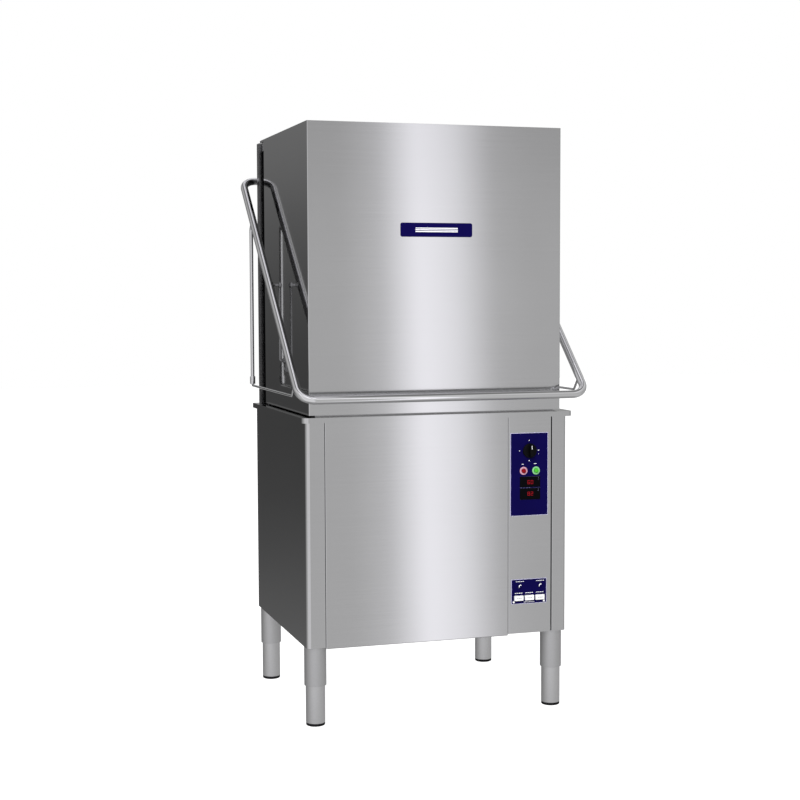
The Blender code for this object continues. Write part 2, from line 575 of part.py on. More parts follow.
for nm, (cx, cz), m in (("stop_button", STOP_BTN, RED), ("start_button", START_BTN, GREEN)):
    a = empty("axis_" + nm, (cx, FY0, cz), base)
    finish(nm, bm_turn([(0.0062, 0.012), (0.0066, 0.0115), (0.0066, -0.0062), (0.0058, -0.0072)], (cx, FY0, cz), 'Y', 16), m,
           (cx, FY0, cz), a, 30)
for nm, d in (("display_upper", DISP_1), ("display_lower", DISP_2)):
    finish(nm, bm_box(d[0], d[1], FY0 - 0.0006, CAB_Y0 + 0.008, d[2], d[3]), GLASSY,
           ((d[0] + d[1]) / 2, FY0, (d[2] + d[3]) / 2), base)
dos = finish("dosing_plate", bm_box(DOSING[0], DOSING[1], FY0, FY1, DOSING[2], DOSING[3]), NAVY,
             ((DOSING[0] + DOSING[1]) / 2, FY0, (DOSING[2] + DOSING[3]) / 2), base)
for i, (cx, cz) in enumerate((TRIM_1, TRIM_2)):
    boolean(dos, 'DIFFERENCE', cutter("cut_trim_%d" % i, bm_turn([(0.0058, -0.02), (0.0058, 0.02)], (cx, FY0, cz), 'Y', 14)))
for i, cx in enumerate(DBTN_X):
    boolean(dos, 'DIFFERENCE', cutter("cut_dbtn_%d" % i, bm_box(cx - 0.0128, cx + 0.0128, FY0 - 0.02, FY1 + 0.02,
                                                               DBTN_Z - 0.0071, DBTN_Z + 0.0071)))
for nm, (cx, cz) in (("dosing_trimmer_left", TRIM_1), ("dosing_trimmer_right", TRIM_2)):
    a = empty("axis_" + nm, (cx, FY0, cz), base)
    tr = finish(nm, bm_turn([(0.0053, 0.010), (0.0053, -0.0022), (0.0047, -0.0028)], (cx, FY0, cz), 'Y', 14), WHITE,
                (cx, FY0, cz), a, 30)
    boolean(tr, 'DIFFERENCE', cutter("cut_slot_" + nm, bm_box(cx - 0.0040, cx + 0.0040, FY0 - 0.02, FY0 - 0.0012, cz - 0.0007, cz + 0.0007)))
for i, cx in enumerate(DBTN_X):
    nm = "dosing_button_%d" % (i + 1)
    a = empty("axis_" + nm, (cx, FY0, DBTN_Z), base)
    finish(nm, bm_box(cx - 0.0123, cx + 0.0123, FY0 - 0.0042, CAB_Y0 + 0.009, DBTN_Z - 0.0066, DBTN_Z + 0.0066), WHITE,
           (cx, FY0, DBTN_Z), a)
finish("electrical_box", bm_box(0.1920, 0.3000, CAB_Y0 + 0.0170, CAB_Y0 + 0.0400, 0.3700, 0.7300), GREY,
       (0.2460, CAB_Y0 + 0.0170, 0.55), base)

# ================================================================ wash system
cx, cy = WASH_C
ty0, ty1 = cy - TANK_HY - 0.0003, cy + TANK_HY + 0.0003
tx = TANK_HX + 0.0003
TZ1 = DECK_Z - SHEET - FLOOR_GAP
tank = finish("tank", bm_prism(rrect(-tx - t, tx + t, ty0 - t, ty1 + t, 0.032, 3), 'Z', TANK_Z0 - t, TZ1), STEEL_IN,
              (cx, cy, TANK_Z0), base)
boolean(tank, 'UNION', cutter("add_sump", bm_box(cx - 0.092, cx + 0.092, cy - 0.092, cy + 0.092, TANK_Z0 - 0.052, TANK_Z0 - 0.001)))
boolean(tank, 'DIFFERENCE', cutter("cut_tank", bm_prism(rrect(-tx, tx, ty0, ty1, 0.030, 3), 'Z', TANK_Z0, TZ1 + 0.05)))
boolean(tank, 'DIFFERENCE', cutter("cut_sump", bm_box(cx - 0.090, cx + 0.090, cy - 0.090, cy + 0.090, TANK_Z0 - 0.050, TANK_Z0 + 0.02)))
# strainer tray lying in the tank
st = finish("tank_strainer", bm_prism(rrect(-0.2560, 0.2560, cy - 0.2190, cy + 0.2190, 0.028, 3), 'Z', 0.6900, 0.7020), STEEL_IN,
            (cx, cy, 0.69), base)
boolean(st, 'DIFFERENCE', cutter("cut_strainer_tray", bm_prism(rrect(-0.2545, 0.2545, cy - 0.2175, cy + 0.2175, 0.0265, 3),
                                                               'Z', 0.6915, 0.75)))
boolean(st, 'DIFFERENCE', cutter("cut_strainer_hole", bm_turn([(0.0225, -0.05), (0.0225, 0.05)], (cx, cy, 0.69), 'Z', 16)))
# lower spindle and arms
finish("lower_spindle", bm_turn([(0.0210, TANK_Z0 - 0.0495), (0.0210, 0.7290), (0.0180, 0.7330), (0.0180, 0.7365), (0.0060, 0.7367), (0.0060, 0.7685),
                                 (0.0125, 0.7690), (0.0125, 0.7735), (0.0100, 0.7750)], (cx, cy, 0), 'Z', 16),
       STEEL_IN, (cx, cy, 0.737), base, 40)


def wash_arm(name, z0, z1, half, wide, hub, angle, side_axis):
    """Flat arm with rounded ends, a hub and a bore."""
    a = empty("axis_" + name, (cx, cy, z0), base)
    ca, sa = math.cos(angle), math.sin(angle)
    pts = arc(half - wide, 0, wide, -90, 90, 5) + [(hub, wide * 1.15)] + [(-hub, wide * 1.15)] + arc(-half + wide, 0, wide, 90, 270, 5) + \
        [(-hub, -wide * 1.15), (hub, -wide * 1.15)]
    pts = [(cx + p[0] * ca - p[1] * sa, cy + p[0] * sa + p[1] * ca) for p in pts]
    ob = finish(name, bm_prism(pts, 'Z', z0 + 0.001, z1 - 0.001), STEEL, (cx, cy, z0), a)
    boolean(ob, 'UNION', cutter("add_hub_" + name, bm_turn([(hub, z0), (hub, z1)], (cx, cy, 0), 'Z', 16)))
    boolean(ob, 'DIFFERENCE', cutter("cut_bore_" + name, bm_turn([(0.0066, -0.1 + z0), (0.0066, z1 + 0.1)], (cx, cy, 0), 'Z', 12)))
    return ob


wash_arm("lower_wash_arm", 0.7372, 0.7552, 0.212, 0.017, 0.026, math.radians(35), base)
wash_arm("lower_rinse_arm", 0.7556, 0.7684, 0.205, 0.010, 0.020, math.radians(100), base)
# riser at the rear wall, over to the middle, and the upper hub
RX, RY, RZ = 0.0, 0.2445, 1.2620
rp = rounded_path([(RX, RY, 0.7600), (RX, RY, RZ), (cx, cy, RZ), (cx, cy, 1.2480)], [0.0124, 0.0125], 5)
pts = [tuple(p) for p in rp]
rad = [0.0120] * len(pts)
pts += [(cx, cy, 1.2465), (cx, cy, 1.2463), (cx, cy, 1.2086), (cx, cy, 1.2082), (cx, cy, 1.2035), (cx, cy, 1.2015)]
rad += [0.0120, 0.0060, 0.0060, 0.0125, 0.0125, 0.0100]
finish("wash_riser", bm_sweep(pts, rad, 12), STEEL_IN, (RX, RY, 0.76), base, 40)
wash_arm("upper_rinse_arm", 1.2092, 1.2220, 0.205, 0.010, 0.020, math.radians(60), base)
wash_arm("upper_wash_arm", 1.2226, 1.2456, 0.212, 0.017, 0.026, math.radians(-25), base)
# rack rails: two angles along X, tied by two cross bars; a 500 mm rack slides between the upright flanges
RZ0, RZ1, RZ2 = DECK_Z + FLOOR_GAP, DECK_Z + 0.0040, DECK_Z + 0.0350
RF0, RR1 = HOOD_Y0 + 0.0045, WALL_Y - 0.0006
rr = finish("rack_rails", bm_prism(
    [(RF0, RZ0), (RF0 + 0.034, RZ0), (RF0 + 0.034, RZ1), (RF0 + 0.0015, RZ1), (RF0 + 0.0015, RZ2), (RF0, RZ2)], 'X', -0.318, 0.318),
    STEEL_IN, (0, 0, DECK_Z), base)
boolean(rr, 'UNION', cutter("add_rail_rear", bm_prism(
    [(RR1 - 0.034, RZ0), (RR1, RZ0), (RR1, RZ2), (RR1 - 0.0015, RZ2), (RR1 - 0.0015, RZ1), (RR1 - 0.034, RZ1)], 'X', -0.318, 0.318)))
for side, sx in (("left", -1), ("right", 1)):
    x0, x1 = sorted((sx * 0.285, sx * 0.300))
    boolean(rr, 'UNION', cutter("add_rail_cross_" + side, bm_box(x0, x1, RF0 + 0.030, RR1 - 0.030, RZ0, RZ1)))

# wash pump and booster tank on the base pan
PB = CAB_Z0 + 0.002 + FLOOR_GAP
pump = finish("wash_pump", bm_turn([(0.030, -0.150), (0.055, -0.140), (0.058, -0.020), (0.070, -0.018), (0.078, -0.008), (0.078, 0.040),
                                    (0.066, 0.052), (0.026, 0.054), (0.026, 0.085)], (-0.090, -0.140, PB + 0.095), 'X', 18), CAST,
              (-0.09, -0.14, PB), base, 40)
boolean(pump, 'UNION', cutter("add_pump_foot", bm_box(-0.220, -0.120, -0.180, -0.100, PB, PB + 0.060)))
bt = finish("booster_tank", bm_turn([(0.040, 0.1825), (0.078, 0.1700), (0.0925, 0.149), (0.0925, -0.149), (0.078, -0.1700), (0.014, -0.186), (0.014, -0.210),
                                     (0.018, -0.210), (0.018, -0.190), (0.080, -0.172), (0.095, -0.150), (0.095, 0.150), (0.080, 0.172),
                                     (0.040, 0.185)],
                                    (0.040, 0.120, PB + 0.110), 'X', 20), STEEL_IN, (0.04, 0.12, PB), base, 40)
boolean(bt, 'UNION', cutter("add_booster_feet", bm_box(-0.080, 0.160, 0.090, 0.150, PB, PB + 0.0205)))
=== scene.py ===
import bpy
import bmesh
import json
import math
from mathutils import Vector, Matrix

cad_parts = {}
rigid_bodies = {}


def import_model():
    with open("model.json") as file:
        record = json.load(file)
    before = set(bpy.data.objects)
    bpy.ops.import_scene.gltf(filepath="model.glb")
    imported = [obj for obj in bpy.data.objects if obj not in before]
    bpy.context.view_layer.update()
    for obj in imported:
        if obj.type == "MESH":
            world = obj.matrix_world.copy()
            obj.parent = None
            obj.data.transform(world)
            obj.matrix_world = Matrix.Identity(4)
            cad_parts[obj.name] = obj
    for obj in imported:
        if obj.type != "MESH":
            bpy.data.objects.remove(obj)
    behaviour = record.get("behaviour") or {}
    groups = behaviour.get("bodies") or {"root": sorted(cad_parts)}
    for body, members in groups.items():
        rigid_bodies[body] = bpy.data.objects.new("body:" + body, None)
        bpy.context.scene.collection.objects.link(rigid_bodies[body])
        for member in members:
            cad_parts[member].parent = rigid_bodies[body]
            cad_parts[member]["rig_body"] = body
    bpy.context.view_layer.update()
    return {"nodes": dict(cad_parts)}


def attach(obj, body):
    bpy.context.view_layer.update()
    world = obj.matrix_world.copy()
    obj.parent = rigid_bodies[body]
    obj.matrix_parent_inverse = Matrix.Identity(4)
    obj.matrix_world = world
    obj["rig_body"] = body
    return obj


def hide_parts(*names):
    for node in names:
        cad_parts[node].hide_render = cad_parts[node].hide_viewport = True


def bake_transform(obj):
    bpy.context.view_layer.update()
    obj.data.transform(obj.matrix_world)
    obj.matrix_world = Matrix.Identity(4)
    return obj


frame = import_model()
NODES = frame["nodes"]
SC = bpy.context.scene

# ------------------------------------------------------------------ dimensions
H_TOTAL = 1.500
GAP = 0.0003
CAB_HX, CAB_Y0, CAB_Y1, CAB_Z0 = 0.3477, -0.2962, 0.2633, 0.2010
SHEET, CORNER_R = 0.002, 0.011
DECK_Z, RIM_H, RIM_SIDE, RIM_FRONT = 0.7755, 0.013, 0.011, 0.015
WX, WY = 0.0, -0.0247
TANK_HX, TANK_HY, TANK_Z0 = 0.262, 0.225, 0.570
HOOD_HX, HOOD_Y0, HOOD_YS, HOOD_YR, HOOD_Z0 = 0.3348, -0.2807, 0.2023, 0.2513, 0.7790
COL_X, COL_Y0, COL_Y1, COL_Z1, WALL_Y = 0.3410, 0.2343, 0.2623, 1.4920, 0.2283
ARM_X, PIV_Y, PIV_Z = 0.3760, 0.2903, 1.3915
ARM_ANG = math.atan(0.8796)
ARM_LEN, TUBE_R, BEND_R, BEND_R2 = 0.8625, 0.010, 0.040, 0.034
PIN_Y, LINK_X, LINK_Z0 = -0.0397, 0.3500, 0.9050
BRACE_Y, BRACE_Z = 0.1823, 0.8290
LEG_X, LEG_YF, LEG_YR, LEG_R, SLEEVE_R, SLEEVE_Z0 = 0.3187, -0.2630, 0.2370, 0.0243, 0.0278, 0.1020
CTRL_X0, CTRL_X1, FRONT_X0 = 0.1864, 0.3047, -0.2984
FASCIA = (0.1914, 0.2950, 0.5070, 0.7210)
KNOB = (0.2438, 0.6750)
STOP_BTN, START_BTN = (0.2271, 0.6232), (0.2615, 0.6230)
DISP_1 = (0.2174, 0.2736, 0.5808, 0.6080)
DISP_2 = (0.2174, 0.2736, 0.5486, 0.5780)
DOSING = (0.1945, 0.2922, 0.2780, 0.3423)
TRIM_1, TRIM_2 = (0.2173, 0.3245), (0.2736, 0.3245)
DBTN_X, DBTN_Z = (0.2146, 0.2438, 0.2731), 0.2933
LEVER_R, LEVER_A, SPRING_X = 0.075, math.radians(27.5), 0.262
SPRING_Y = PIV_Y + LEVER_R * math.cos(LEVER_A)
TIP_Z = PIV_Z + LEVER_R * math.sin(LEVER_A)
FY0, FY1 = CAB_Y0 - 0.0015, CAB_Y0 - GAP
PV = Vector((0, PIV_Y, PIV_Z))
ARM_D = Vector((0, -math.cos(ARM_ANG), -math.sin(ARM_ANG)))
ARM_N = Vector((0, -math.sin(ARM_ANG), math.cos(ARM_ANG)))
PIN_Z = PIV_Z - (PIV_Y - PIN_Y) * 0.8796


# ------------------------------------------------------------------ materials
def base_mat(name):
    m = bpy.data.materials.new(name)
    m.use_nodes = True
    return m, m.node_tree, m.node_tree.nodes["Principled BSDF"]


def nd(t, kind, **kw):
    n = t.nodes.new(kind)
    for k, v in kw.items():
        setattr(n, k, v)
    return n


def coords(t, scale):
    tc = nd(t, "ShaderNodeTexCoord")
    mp = nd(t, "ShaderNodeMapping")
    mp.inputs["Scale"].default_value = scale
    t.links.new(tc.outputs["Object"], mp.inputs["Vector"])
    return mp.outputs["Vector"]


def noise(t, scale_vec, scale=1.0, detail=4.0, rough=0.6):
    n = nd(t, "ShaderNodeTexNoise")
    n.inputs["Scale"].default_value = scale
    n.inputs["Detail"].default_value = detail
    n.inputs["Roughness"].default_value = rough
    t.links.new(coords(t, scale_vec), n.inputs["Vector"])
    return n.outputs["Fac"]


def remap(t, fac, lo, hi, a=0.3, b=0.7):
    n = nd(t, "ShaderNodeMapRange")
    n.inputs["From Min"].default_value = a
    n.inputs["From Max"].default_value = b
    n.inputs["To Min"].default_value = lo
    n.inputs["To Max"].default_value = hi
    t.links.new(fac, n.inputs["Value"])
    return n.outputs["Result"]


def tint(t, fac, dark, light):
    n = nd(t, "ShaderNodeMix", data_type='RGBA')
    n.inputs[6].default_value = (*dark, 1)
    n.inputs[7].default_value = (*light, 1)
    t.links.new(fac, n.inputs[0])
    return n.outputs[2]


def bump(t, height, strength, dist, b):
    n = nd(t, "ShaderNodeBump")
    n.inputs["Strength"].default_value = strength
    n.inputs["Distance"].default_value = dist
    t.links.new(height, n.inputs["Height"])
    t.links.new(n.outputs["Normal"], b.inputs["Normal"])


def brushed(name, col, rough, spread, aniso=0.8, grain=0.02, along='X', tint_amt=0.02, top=1.0):
    """Brushed stainless: grain along the horizontal, reflections drawn out across it. A top below 1 paints shade: faces
    turned up or down take the base colour scaled by top.
    """
    m, t, b = base_mat(name)
    b.inputs["Metallic"].default_value = 1.0
    b.inputs["Anisotropic"].default_value = aniso
    tv = nd(t, "ShaderNodeCombineXYZ")
    tv.inputs[0].default_value = 0.0 if along != 'V' else 1.0
    tv.inputs[1].default_value = 0.02 if along != 'V' else 1.0
    tv.inputs[2].default_value = 1.0 if along != 'V' else 0.02
    t.links.new(tv.outputs[0], b.inputs["Tangent"])
    wall = noise(t, (5, 5, 1500) if along != 'V' else (1500, 1500, 5), 1.0, 3.0)
    flat = noise(t, (5, 1500, 5), 1.0, 3.0)
    geo = nd(t, "ShaderNodeNewGeometry")
    sep = nd(t, "ShaderNodeSeparateXYZ")
    t.links.new(geo.outputs["Normal"], sep.inputs[0])
    ab = nd(t, "ShaderNodeMath", operation='ABSOLUTE')
    t.links.new(sep.outputs[2], ab.inputs[0])
    gt = nd(t, "ShaderNodeMath", operation='GREATER_THAN')
    gt.inputs[1].default_value = 0.7
    t.links.new(ab.outputs[0], gt.inputs[0])
    mx = nd(t, "ShaderNodeMix", data_type='FLOAT')
    t.links.new(gt.outputs[0], mx.inputs[0])
    t.links.new(wall, mx.inputs[2])
    t.links.new(flat, mx.inputs[3])
    g = mx.outputs[0]
    cloud = noise(t, (1, 1, 1), 5.0, 3.0, 0.5)
    add = nd(t, "ShaderNodeMath", operation='ADD')
    t.links.new(remap(t, g, -0.5, 0.5), add.inputs[0])
    t.links.new(remap(t, cloud, 0.2, 0.8), add.inputs[1])
    cc = tint(t, add.outputs[0], [c * (1 - tint_amt) for c in col], [min(1, c * (1 + tint_amt)) for c in col])
    # painted shade: faces turned up or down take the base colour scaled by top
    if top < 1.0:
        tm = nd(t, "ShaderNodeMix", data_type='RGBA')
        t.links.new(gt.outputs[0], tm.inputs[0])
        t.links.new(cc, tm.inputs[6])
        t.links.new(tint(t, add.outputs[0], [c * top * .95 for c in col], [c * top for c in col]), tm.inputs[7])
        cc = tm.outputs[2]
    t.links.new(cc, b.inputs["Base Color"])
    t.links.new(remap(t, add.outputs[0], rough - spread, rough + spread, 0.0, 1.0), b.inputs["Roughness"])
    bump(t, g, grain, 0.0002, b)
    return m


def metal(name, col, rough, spread=0.03, scale=60, bumps=0.03):
    m, t, b = base_mat(name)
    b.inputs["Metallic"].default_value = 1.0
    f = noise(t, (1, 1, 1), scale, 4.0)
    t.links.new(tint(t, remap(t, f, 0, 1), [c * 0.96 for c in col], [min(1, c * 1.03) for c in col]), b.inputs["Base Color"])
    t.links.new(remap(t, f, rough - spread, rough + spread), b.inputs["Roughness"])
    bump(t, f, bumps, 0.0003, b)
    return m


def plastic(name, col, rough, spread=0.05, scale=900, bumps=0.08, coat=0.0, var=0.08, spec=0.5):
    m, t, b = base_mat(name)
    b.inputs["Specular IOR Level"].default_value = spec
    f = noise(t, (1, 1, 1), scale, 3.0)
    big = noise(t, (1, 1, 1), 14.0, 2.0)
    t.links.new(tint(t, remap(t, big, 0, 1), [c * (1 - var) for c in col], [min(1, c * (1 + var)) for c in col]),
                b.inputs["Base Color"])
    t.links.new(remap(t, f, rough - spread, rough + spread), b.inputs["Roughness"])
    if coat:
        b.inputs["Coat Weight"].default_value = coat
        b.inputs["Coat Roughness"].default_value = 0.08
    bump(t, f, bumps, 0.0001, b)
    return m


def glow(name, col, strength):
    m, t, b = base_mat(name)
    b.inputs["Base Color"].default_value = (*[c * .15 for c in col], 1)
    b.inputs["Specular IOR Level"].default_value = .1
    b.inputs["Emission Color"].default_value = (*col, 1)
    b.inputs["Emission Strength"].default_value = strength
    b.inputs["Roughness"].default_value = 0.4
    return m


def painted_shade_handle_steel(name, col, rough):
    """Satin tube with painted shade: the base colour is darkened to 0.14 on the left arm's inner side, turned in
    against the hood, and on faces turned partly backwards, as a painted reflection of the dark hood side.
    """
    m, t, b = base_mat(name)
    b.inputs["Metallic"].default_value = 1.0
    f = noise(t, (1, 1, 1), 90, 4.0)
    geo = nd(t, "ShaderNodeNewGeometry")
    sn = nd(t, "ShaderNodeSeparateXYZ")
    t.links.new(geo.outputs["Normal"], sn.inputs[0])
    so = nd(t, "ShaderNodeSeparateXYZ")
    t.links.new(coords(t, (1, 1, 1)), so.inputs[0])
    sg = nd(t, "ShaderNodeMath", operation='LESS_THAN')
    sg.inputs[1].default_value = 0.0
    t.links.new(so.outputs[0], sg.inputs[0])
    mu = nd(t, "ShaderNodeMath", operation='MULTIPLY')
    t.links.new(sg.outputs[0], mu.inputs[0])
    t.links.new(sn.outputs[0], mu.inputs[1])
    # painted shade on the inner side is left off the arm on the right, which keeps its inner side light
    ne = nd(t, "ShaderNodeMath", operation='ADD')
    rt_ = nd(t, "ShaderNodeMath", operation='MULTIPLY_ADD')
    rt_.inputs[1].default_value = 1.0
    rt_.inputs[2].default_value = -1.0
    t.links.new(sg.outputs[0], rt_.inputs[0])
    t.links.new(mu.outputs[0], ne.inputs[0])
    t.links.new(rt_.outputs[0], ne.inputs[1])
    mxm = nd(t, "ShaderNodeMath", operation='MAXIMUM')
    t.links.new(ne.outputs[0], mxm.inputs[0])
    t.links.new(sn.outputs[1], mxm.inputs[1])
    # faces that look straight back get no painted shade and are plain steel again
    lim = nd(t, "ShaderNodeMath", operation='MULTIPLY_ADD')
    lim.inputs[1].default_value = -2.0
    lim.inputs[2].default_value = 1.24
    t.links.new(sn.outputs[1], lim.inputs[0])
    mnm = nd(t, "ShaderNodeMath", operation='MINIMUM')
    t.links.new(mxm.outputs[0], mnm.inputs[0])
    t.links.new(lim.outputs[0], mnm.inputs[1])
    # painted shade mask: 0 gives the colour darkened to 0.14, 1 the plain steel
    k = remap(t, mnm.outputs[0], 1.0, 0.0, .02, .20)
    t.links.new(tint(t, k, [c * .14 for c in col], col), b.inputs["Base Color"])
    t.links.new(remap(t, f, rough - .01, rough + .01), b.inputs["Roughness"])
    bump(t, f, .008, 0.0003, b)
    return m


STEEL = brushed("steel_brushed", (0.63, 0.63, 0.637), 0.075, 0.008, grain=0.010)
# deck steel with painted shade: its up- and down-facing faces at 0.40 of the colour, darkening the deck top
DECK_STEEL_PAINTED_TOP_SHADE = brushed("steel_deck_painted_top_shade", (0.63, 0.63, 0.637), 0.08, 0.008, grain=0.010, top=.40)
STEEL_IN = brushed("steel_plain", (0.50, 0.50, 0.505), 0.30, 0.05, 0.4, 0.03, tint_amt=0.05)
STEEL_COL = brushed("steel_column", (0.27, 0.27, 0.275), 0.30, 0.04, 0.4, 0.03)
LEG = metal("steel_tube_satin", (0.60, 0.60, 0.605), 0.52, 0.03, 240, 0.02)
LEGF = metal("steel_foot_satin", (0.675, 0.675, 0.68), 0.52, 0.03, 240, 0.02)
# handle steel with painted shade on its inner and backward-facing sides
HANDLE_PAINTED_SHADE = painted_shade_handle_steel("steel_handle_painted_shade", (0.76, 0.76, 0.77), 0.05)
SEAL = plastic("rubber_seal", (0.0030, 0.0030, 0.0033), 0.7, 0.05, 900, 0.1, spec=0.0)
POLISH = metal("steel_polished", (0.66, 0.66, 0.67), 0.14, 0.03, 90, 0.02)
DARKST = metal("steel_dark", (0.25, 0.25, 0.255), 0.20, 0.03, 90, 0.02)
SPRINGM = metal("steel_spring_wire", (0.42, 0.42, 0.43), 0.32, 0.06, 200, 0.05)
NAVY = plastic("film_navy", (0.0033, 0.0019, 0.0520), 0.33, 0.04, 2600, 0.04, spec=.03)
INK = plastic("ink_white", (0.93, 0.93, 0.95), 0.5, 0.03, 2600, 0.02, var=.01)
EDGE = plastic("film_edge", (0.62, 0.60, 0.86), 0.3, 0.03, 2600, 0.02)
BLACK = plastic("plastic_black", (0.0026, 0.0026, 0.0032), 0.42, 0.07, 1400, 0.10, spec=.07)
RUBBER = plastic("plastic_foot", (0.010, 0.010, 0.011), 0.6, 0.06, 900, 0.2, spec=.12)
WINDOW = plastic("display_window", (0.0012, 0.0012, 0.0020), 0.12, 0.02, 300, 0.0, spec=.05)
WHITE = plastic("plastic_white", (0.90, 0.90, 0.91), 0.42, 0.05, 1200, 0.05, var=.01)
GREYP = plastic("plastic_grey", (0.30, 0.31, 0.32), 0.5, 0.06, 700, 0.15, spec=.3)
CAST = plastic("paint_casting", (0.13, 0.14, 0.15), 0.45, 0.08, 220, 0.35)
DIM = plastic("ink_dim", (0.13, 0.13, 0.24), 0.5, 0.03, 2600, 0.02)
REDB = plastic("lens_red", (0.22, 0.002, 0.006), 0.24, 0.04, 900, 0.03, spec=.10)
GREENB = plastic("lens_green", (0.065, 0.46, 0.030), 0.24, 0.04, 900, 0.03, spec=.15)
RED_RIM = plastic("bezel_rose", (0.5684, 0.3000, 0.3968), 0.35, 0.04, 900, 0.03, var=.02)
GREEN_RIM = plastic("bezel_mint", (0.23, 0.56, 0.24), 0.35, 0.04, 900, 0.03, var=.02)
LED = glow("digit_red", (0.36, 0.006, 0.014), 1.0)


# ------------------------------------------------------------------ mesh tools
def put(name, bm, m, body, rep=(), smooth=38, bevel=0.0, seg=2, bang=38, recalc=True, flat=False):
    if recalc:
        bmesh.ops.recalc_face_normals(bm, faces=bm.faces[:])
    me = bpy.data.meshes.new(name)
    bm.to_mesh(me)
    bm.free()
    me.materials.append(m)
    ob = bpy.data.objects.new(name, me)
    SC.collection.objects.link(ob)
    me.shade_smooth()
    if bevel:
        md = ob.modifiers.new("edge", 'BEVEL')
        md.width = bevel
        md.segments = seg
        md.limit_method = 'ANGLE'
        md.angle_limit = math.radians(bang)
        md.harden_normals = True
    else:
        me.set_sharp_from_angle(angle=math.radians(smooth))
    if flat:
        wn = ob.modifiers.new("flat", 'WEIGHTED_NORMAL')
        wn.mode = 'FACE_AREA'
        wn.weight = 100
        wn.keep_sharp = True
    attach(ob, body)
    if rep:
        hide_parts(*rep)
    return ob


def p3(p, a, axis):
    return (p[0], p[1], a) if axis == 'Z' else ((p[0], a, p[1]) if axis == 'Y' else (a, p[0], p[1]))


def loft(rings, cap=True, bm=None, close=False):
    bm = bm or bmesh.new()
    vs = [[bm.verts.new(p) for p in r] for r in rings]
    n = len(rings[0])
    pairs = list(zip(vs, vs[1:])) + ([(vs[-1], vs[0])] if close else [])
    for a, b in pairs:
        for i in range(n):
            j = (i + 1) % n
            bm.faces.new((a[i], a[j], b[j], b[i]))
    if cap and not close:
        bm.faces.new(vs[0])
        bm.faces.new(vs[-1])
    return bm


def prism(pts, axis, a0, a1, bm=None):
    return loft([[p3(p, a0, axis) for p in pts], [p3(p, a1, axis) for p in pts]], True, bm)


def box(x0, x1, y0, y1, z0, z1, bm=None):
    return prism([(x0, y0), (x1, y0), (x1, y1), (x0, y1)], 'Z', z0, z1, bm)


def turn(profile, c, axis='Z', n=48, bm=None, close=False, cap=True):
    rings = []
    for r, h in profile:
        ring = []
        for i in range(n):
            t = 2 * math.pi * (i + 0.5) / n
            a, b = r * math.cos(t), r * math.sin(t)
            ring.append((c[0] + a, c[1] + b, c[2] + h) if axis == 'Z' else
                        ((c[0] + a, c[1] + h, c[2] + b) if axis == 'Y' else (c[0] + h, c[1] + a, c[2] + b)))
        rings.append(ring)
    return loft(rings, cap, bm, close)


def sweep(pts, radii, sides=32, bm=None, cap=True):
    pts = [Vector(p) for p in pts]
    n = len(pts)
    tang = []
    for i in range(n):
        d1 = (pts[i] - pts[i - 1]).normalized() if i else None
        d2 = (pts[i + 1] - pts[i]).normalized() if i < n - 1 else None
        tang.append((d2 if d1 is None else d1 if d2 is None else d1 + d2).normalized())
    ref = Vector((0, 0, 1)) if abs(tang[0].z) < 0.8 else Vector((1, 0, 0))
    u = (ref - tang[0] * ref.dot(tang[0])).normalized()
    rings = []
    for i in range(n):
        if i:
            ax = tang[i - 1].cross(tang[i])
            if ax.length > 1e-9:
                u = Matrix.Rotation(tang[i - 1].angle(tang[i]), 3, ax.normalized()) @ u
            u = (u - tang[i] * u.dot(tang[i])).normalized()
        w = tang[i].cross(u)
        rings.append([tuple(pts[i] + (u * math.cos(2 * math.pi * (s + .5) / sides) + w * math.sin(2 * math.pi * (s + .5) / sides)) * radii[i])
                      for s in range(sides)])
    return loft(rings, cap, bm)


def rounded(pts, radii, seg=12):
    pts = [Vector(p) for p in pts]
    out = [pts[0]]
    for i in range(1, len(pts) - 1):
        a, p, b = pts[i - 1], pts[i], pts[i + 1]
        r = radii[i - 1]
        d1, d2 = (a - p).normalized(), (b - p).normalized()
        half = d1.angle(d2) / 2
        c = p + (d1 + d2).normalized() * (r / math.sin(half))
        s, e = p + d1 * (r / math.tan(half)), p + d2 * (r / math.tan(half))
        v1, v2 = s - c, e - c
        ax = v1.cross(v2).normalized()
        for k in range(seg + 1):
            out.append(c + Matrix.Rotation(v1.angle(v2) * k / seg, 3, ax) @ v1)
    out.append(pts[-1])
    return out


def arc(cx, cy, r, a0, a1, n):
    return [(cx + r * math.cos(math.radians(a0 + (a1 - a0) * i / n)),
             cy + r * math.sin(math.radians(a0 + (a1 - a0) * i / n))) for i in range(n + 1)]


def rrect(x0, x1, y0, y1, r, n=6):
    return (arc(x0 + r, y0 + r, r, 180, 270, n) + arc(x1 - r, y0 + r, r, 270, 360, n) +
            arc(x1 - r, y1 - r, r, 0, 90, n) + arc(x0 + r, y1 - r, r, 90, 180, n))


def plate_with_hole(outer, holes, z, bm):
    """Flat face between an outer loop of verts and hole loops."""
    edges = []
    for loop in [outer] + holes:
        for i in range(len(loop)):
            a, b = loop[i], loop[(i + 1) % len(loop)]
            e = bm.edges.get((a, b)) or bm.edges.new((a, b))
            edges.append(e)
    bmesh.ops.triangle_fill(bm, edges=edges, use_beauty=True, use_dissolve=False)


def holed_prism(outer, holes, axis, a0, a1):
    """Plate of any outline with through holes."""
    bm = bmesh.new()
    sets = []
    for a in (a0, a1):
        sets.append([[bm.verts.new(p3(p, a, axis)) for p in lp] for lp in [outer] + holes])
    for la, lb in zip(*sets):
        n = len(la)
        for i in range(n):
            j = (i + 1) % n
            bm.faces.new((la[i], la[j], lb[j], lb[i]))
    for st in sets:
        plate_with_hole(st[0], st[1:], 0, bm)
    return bm


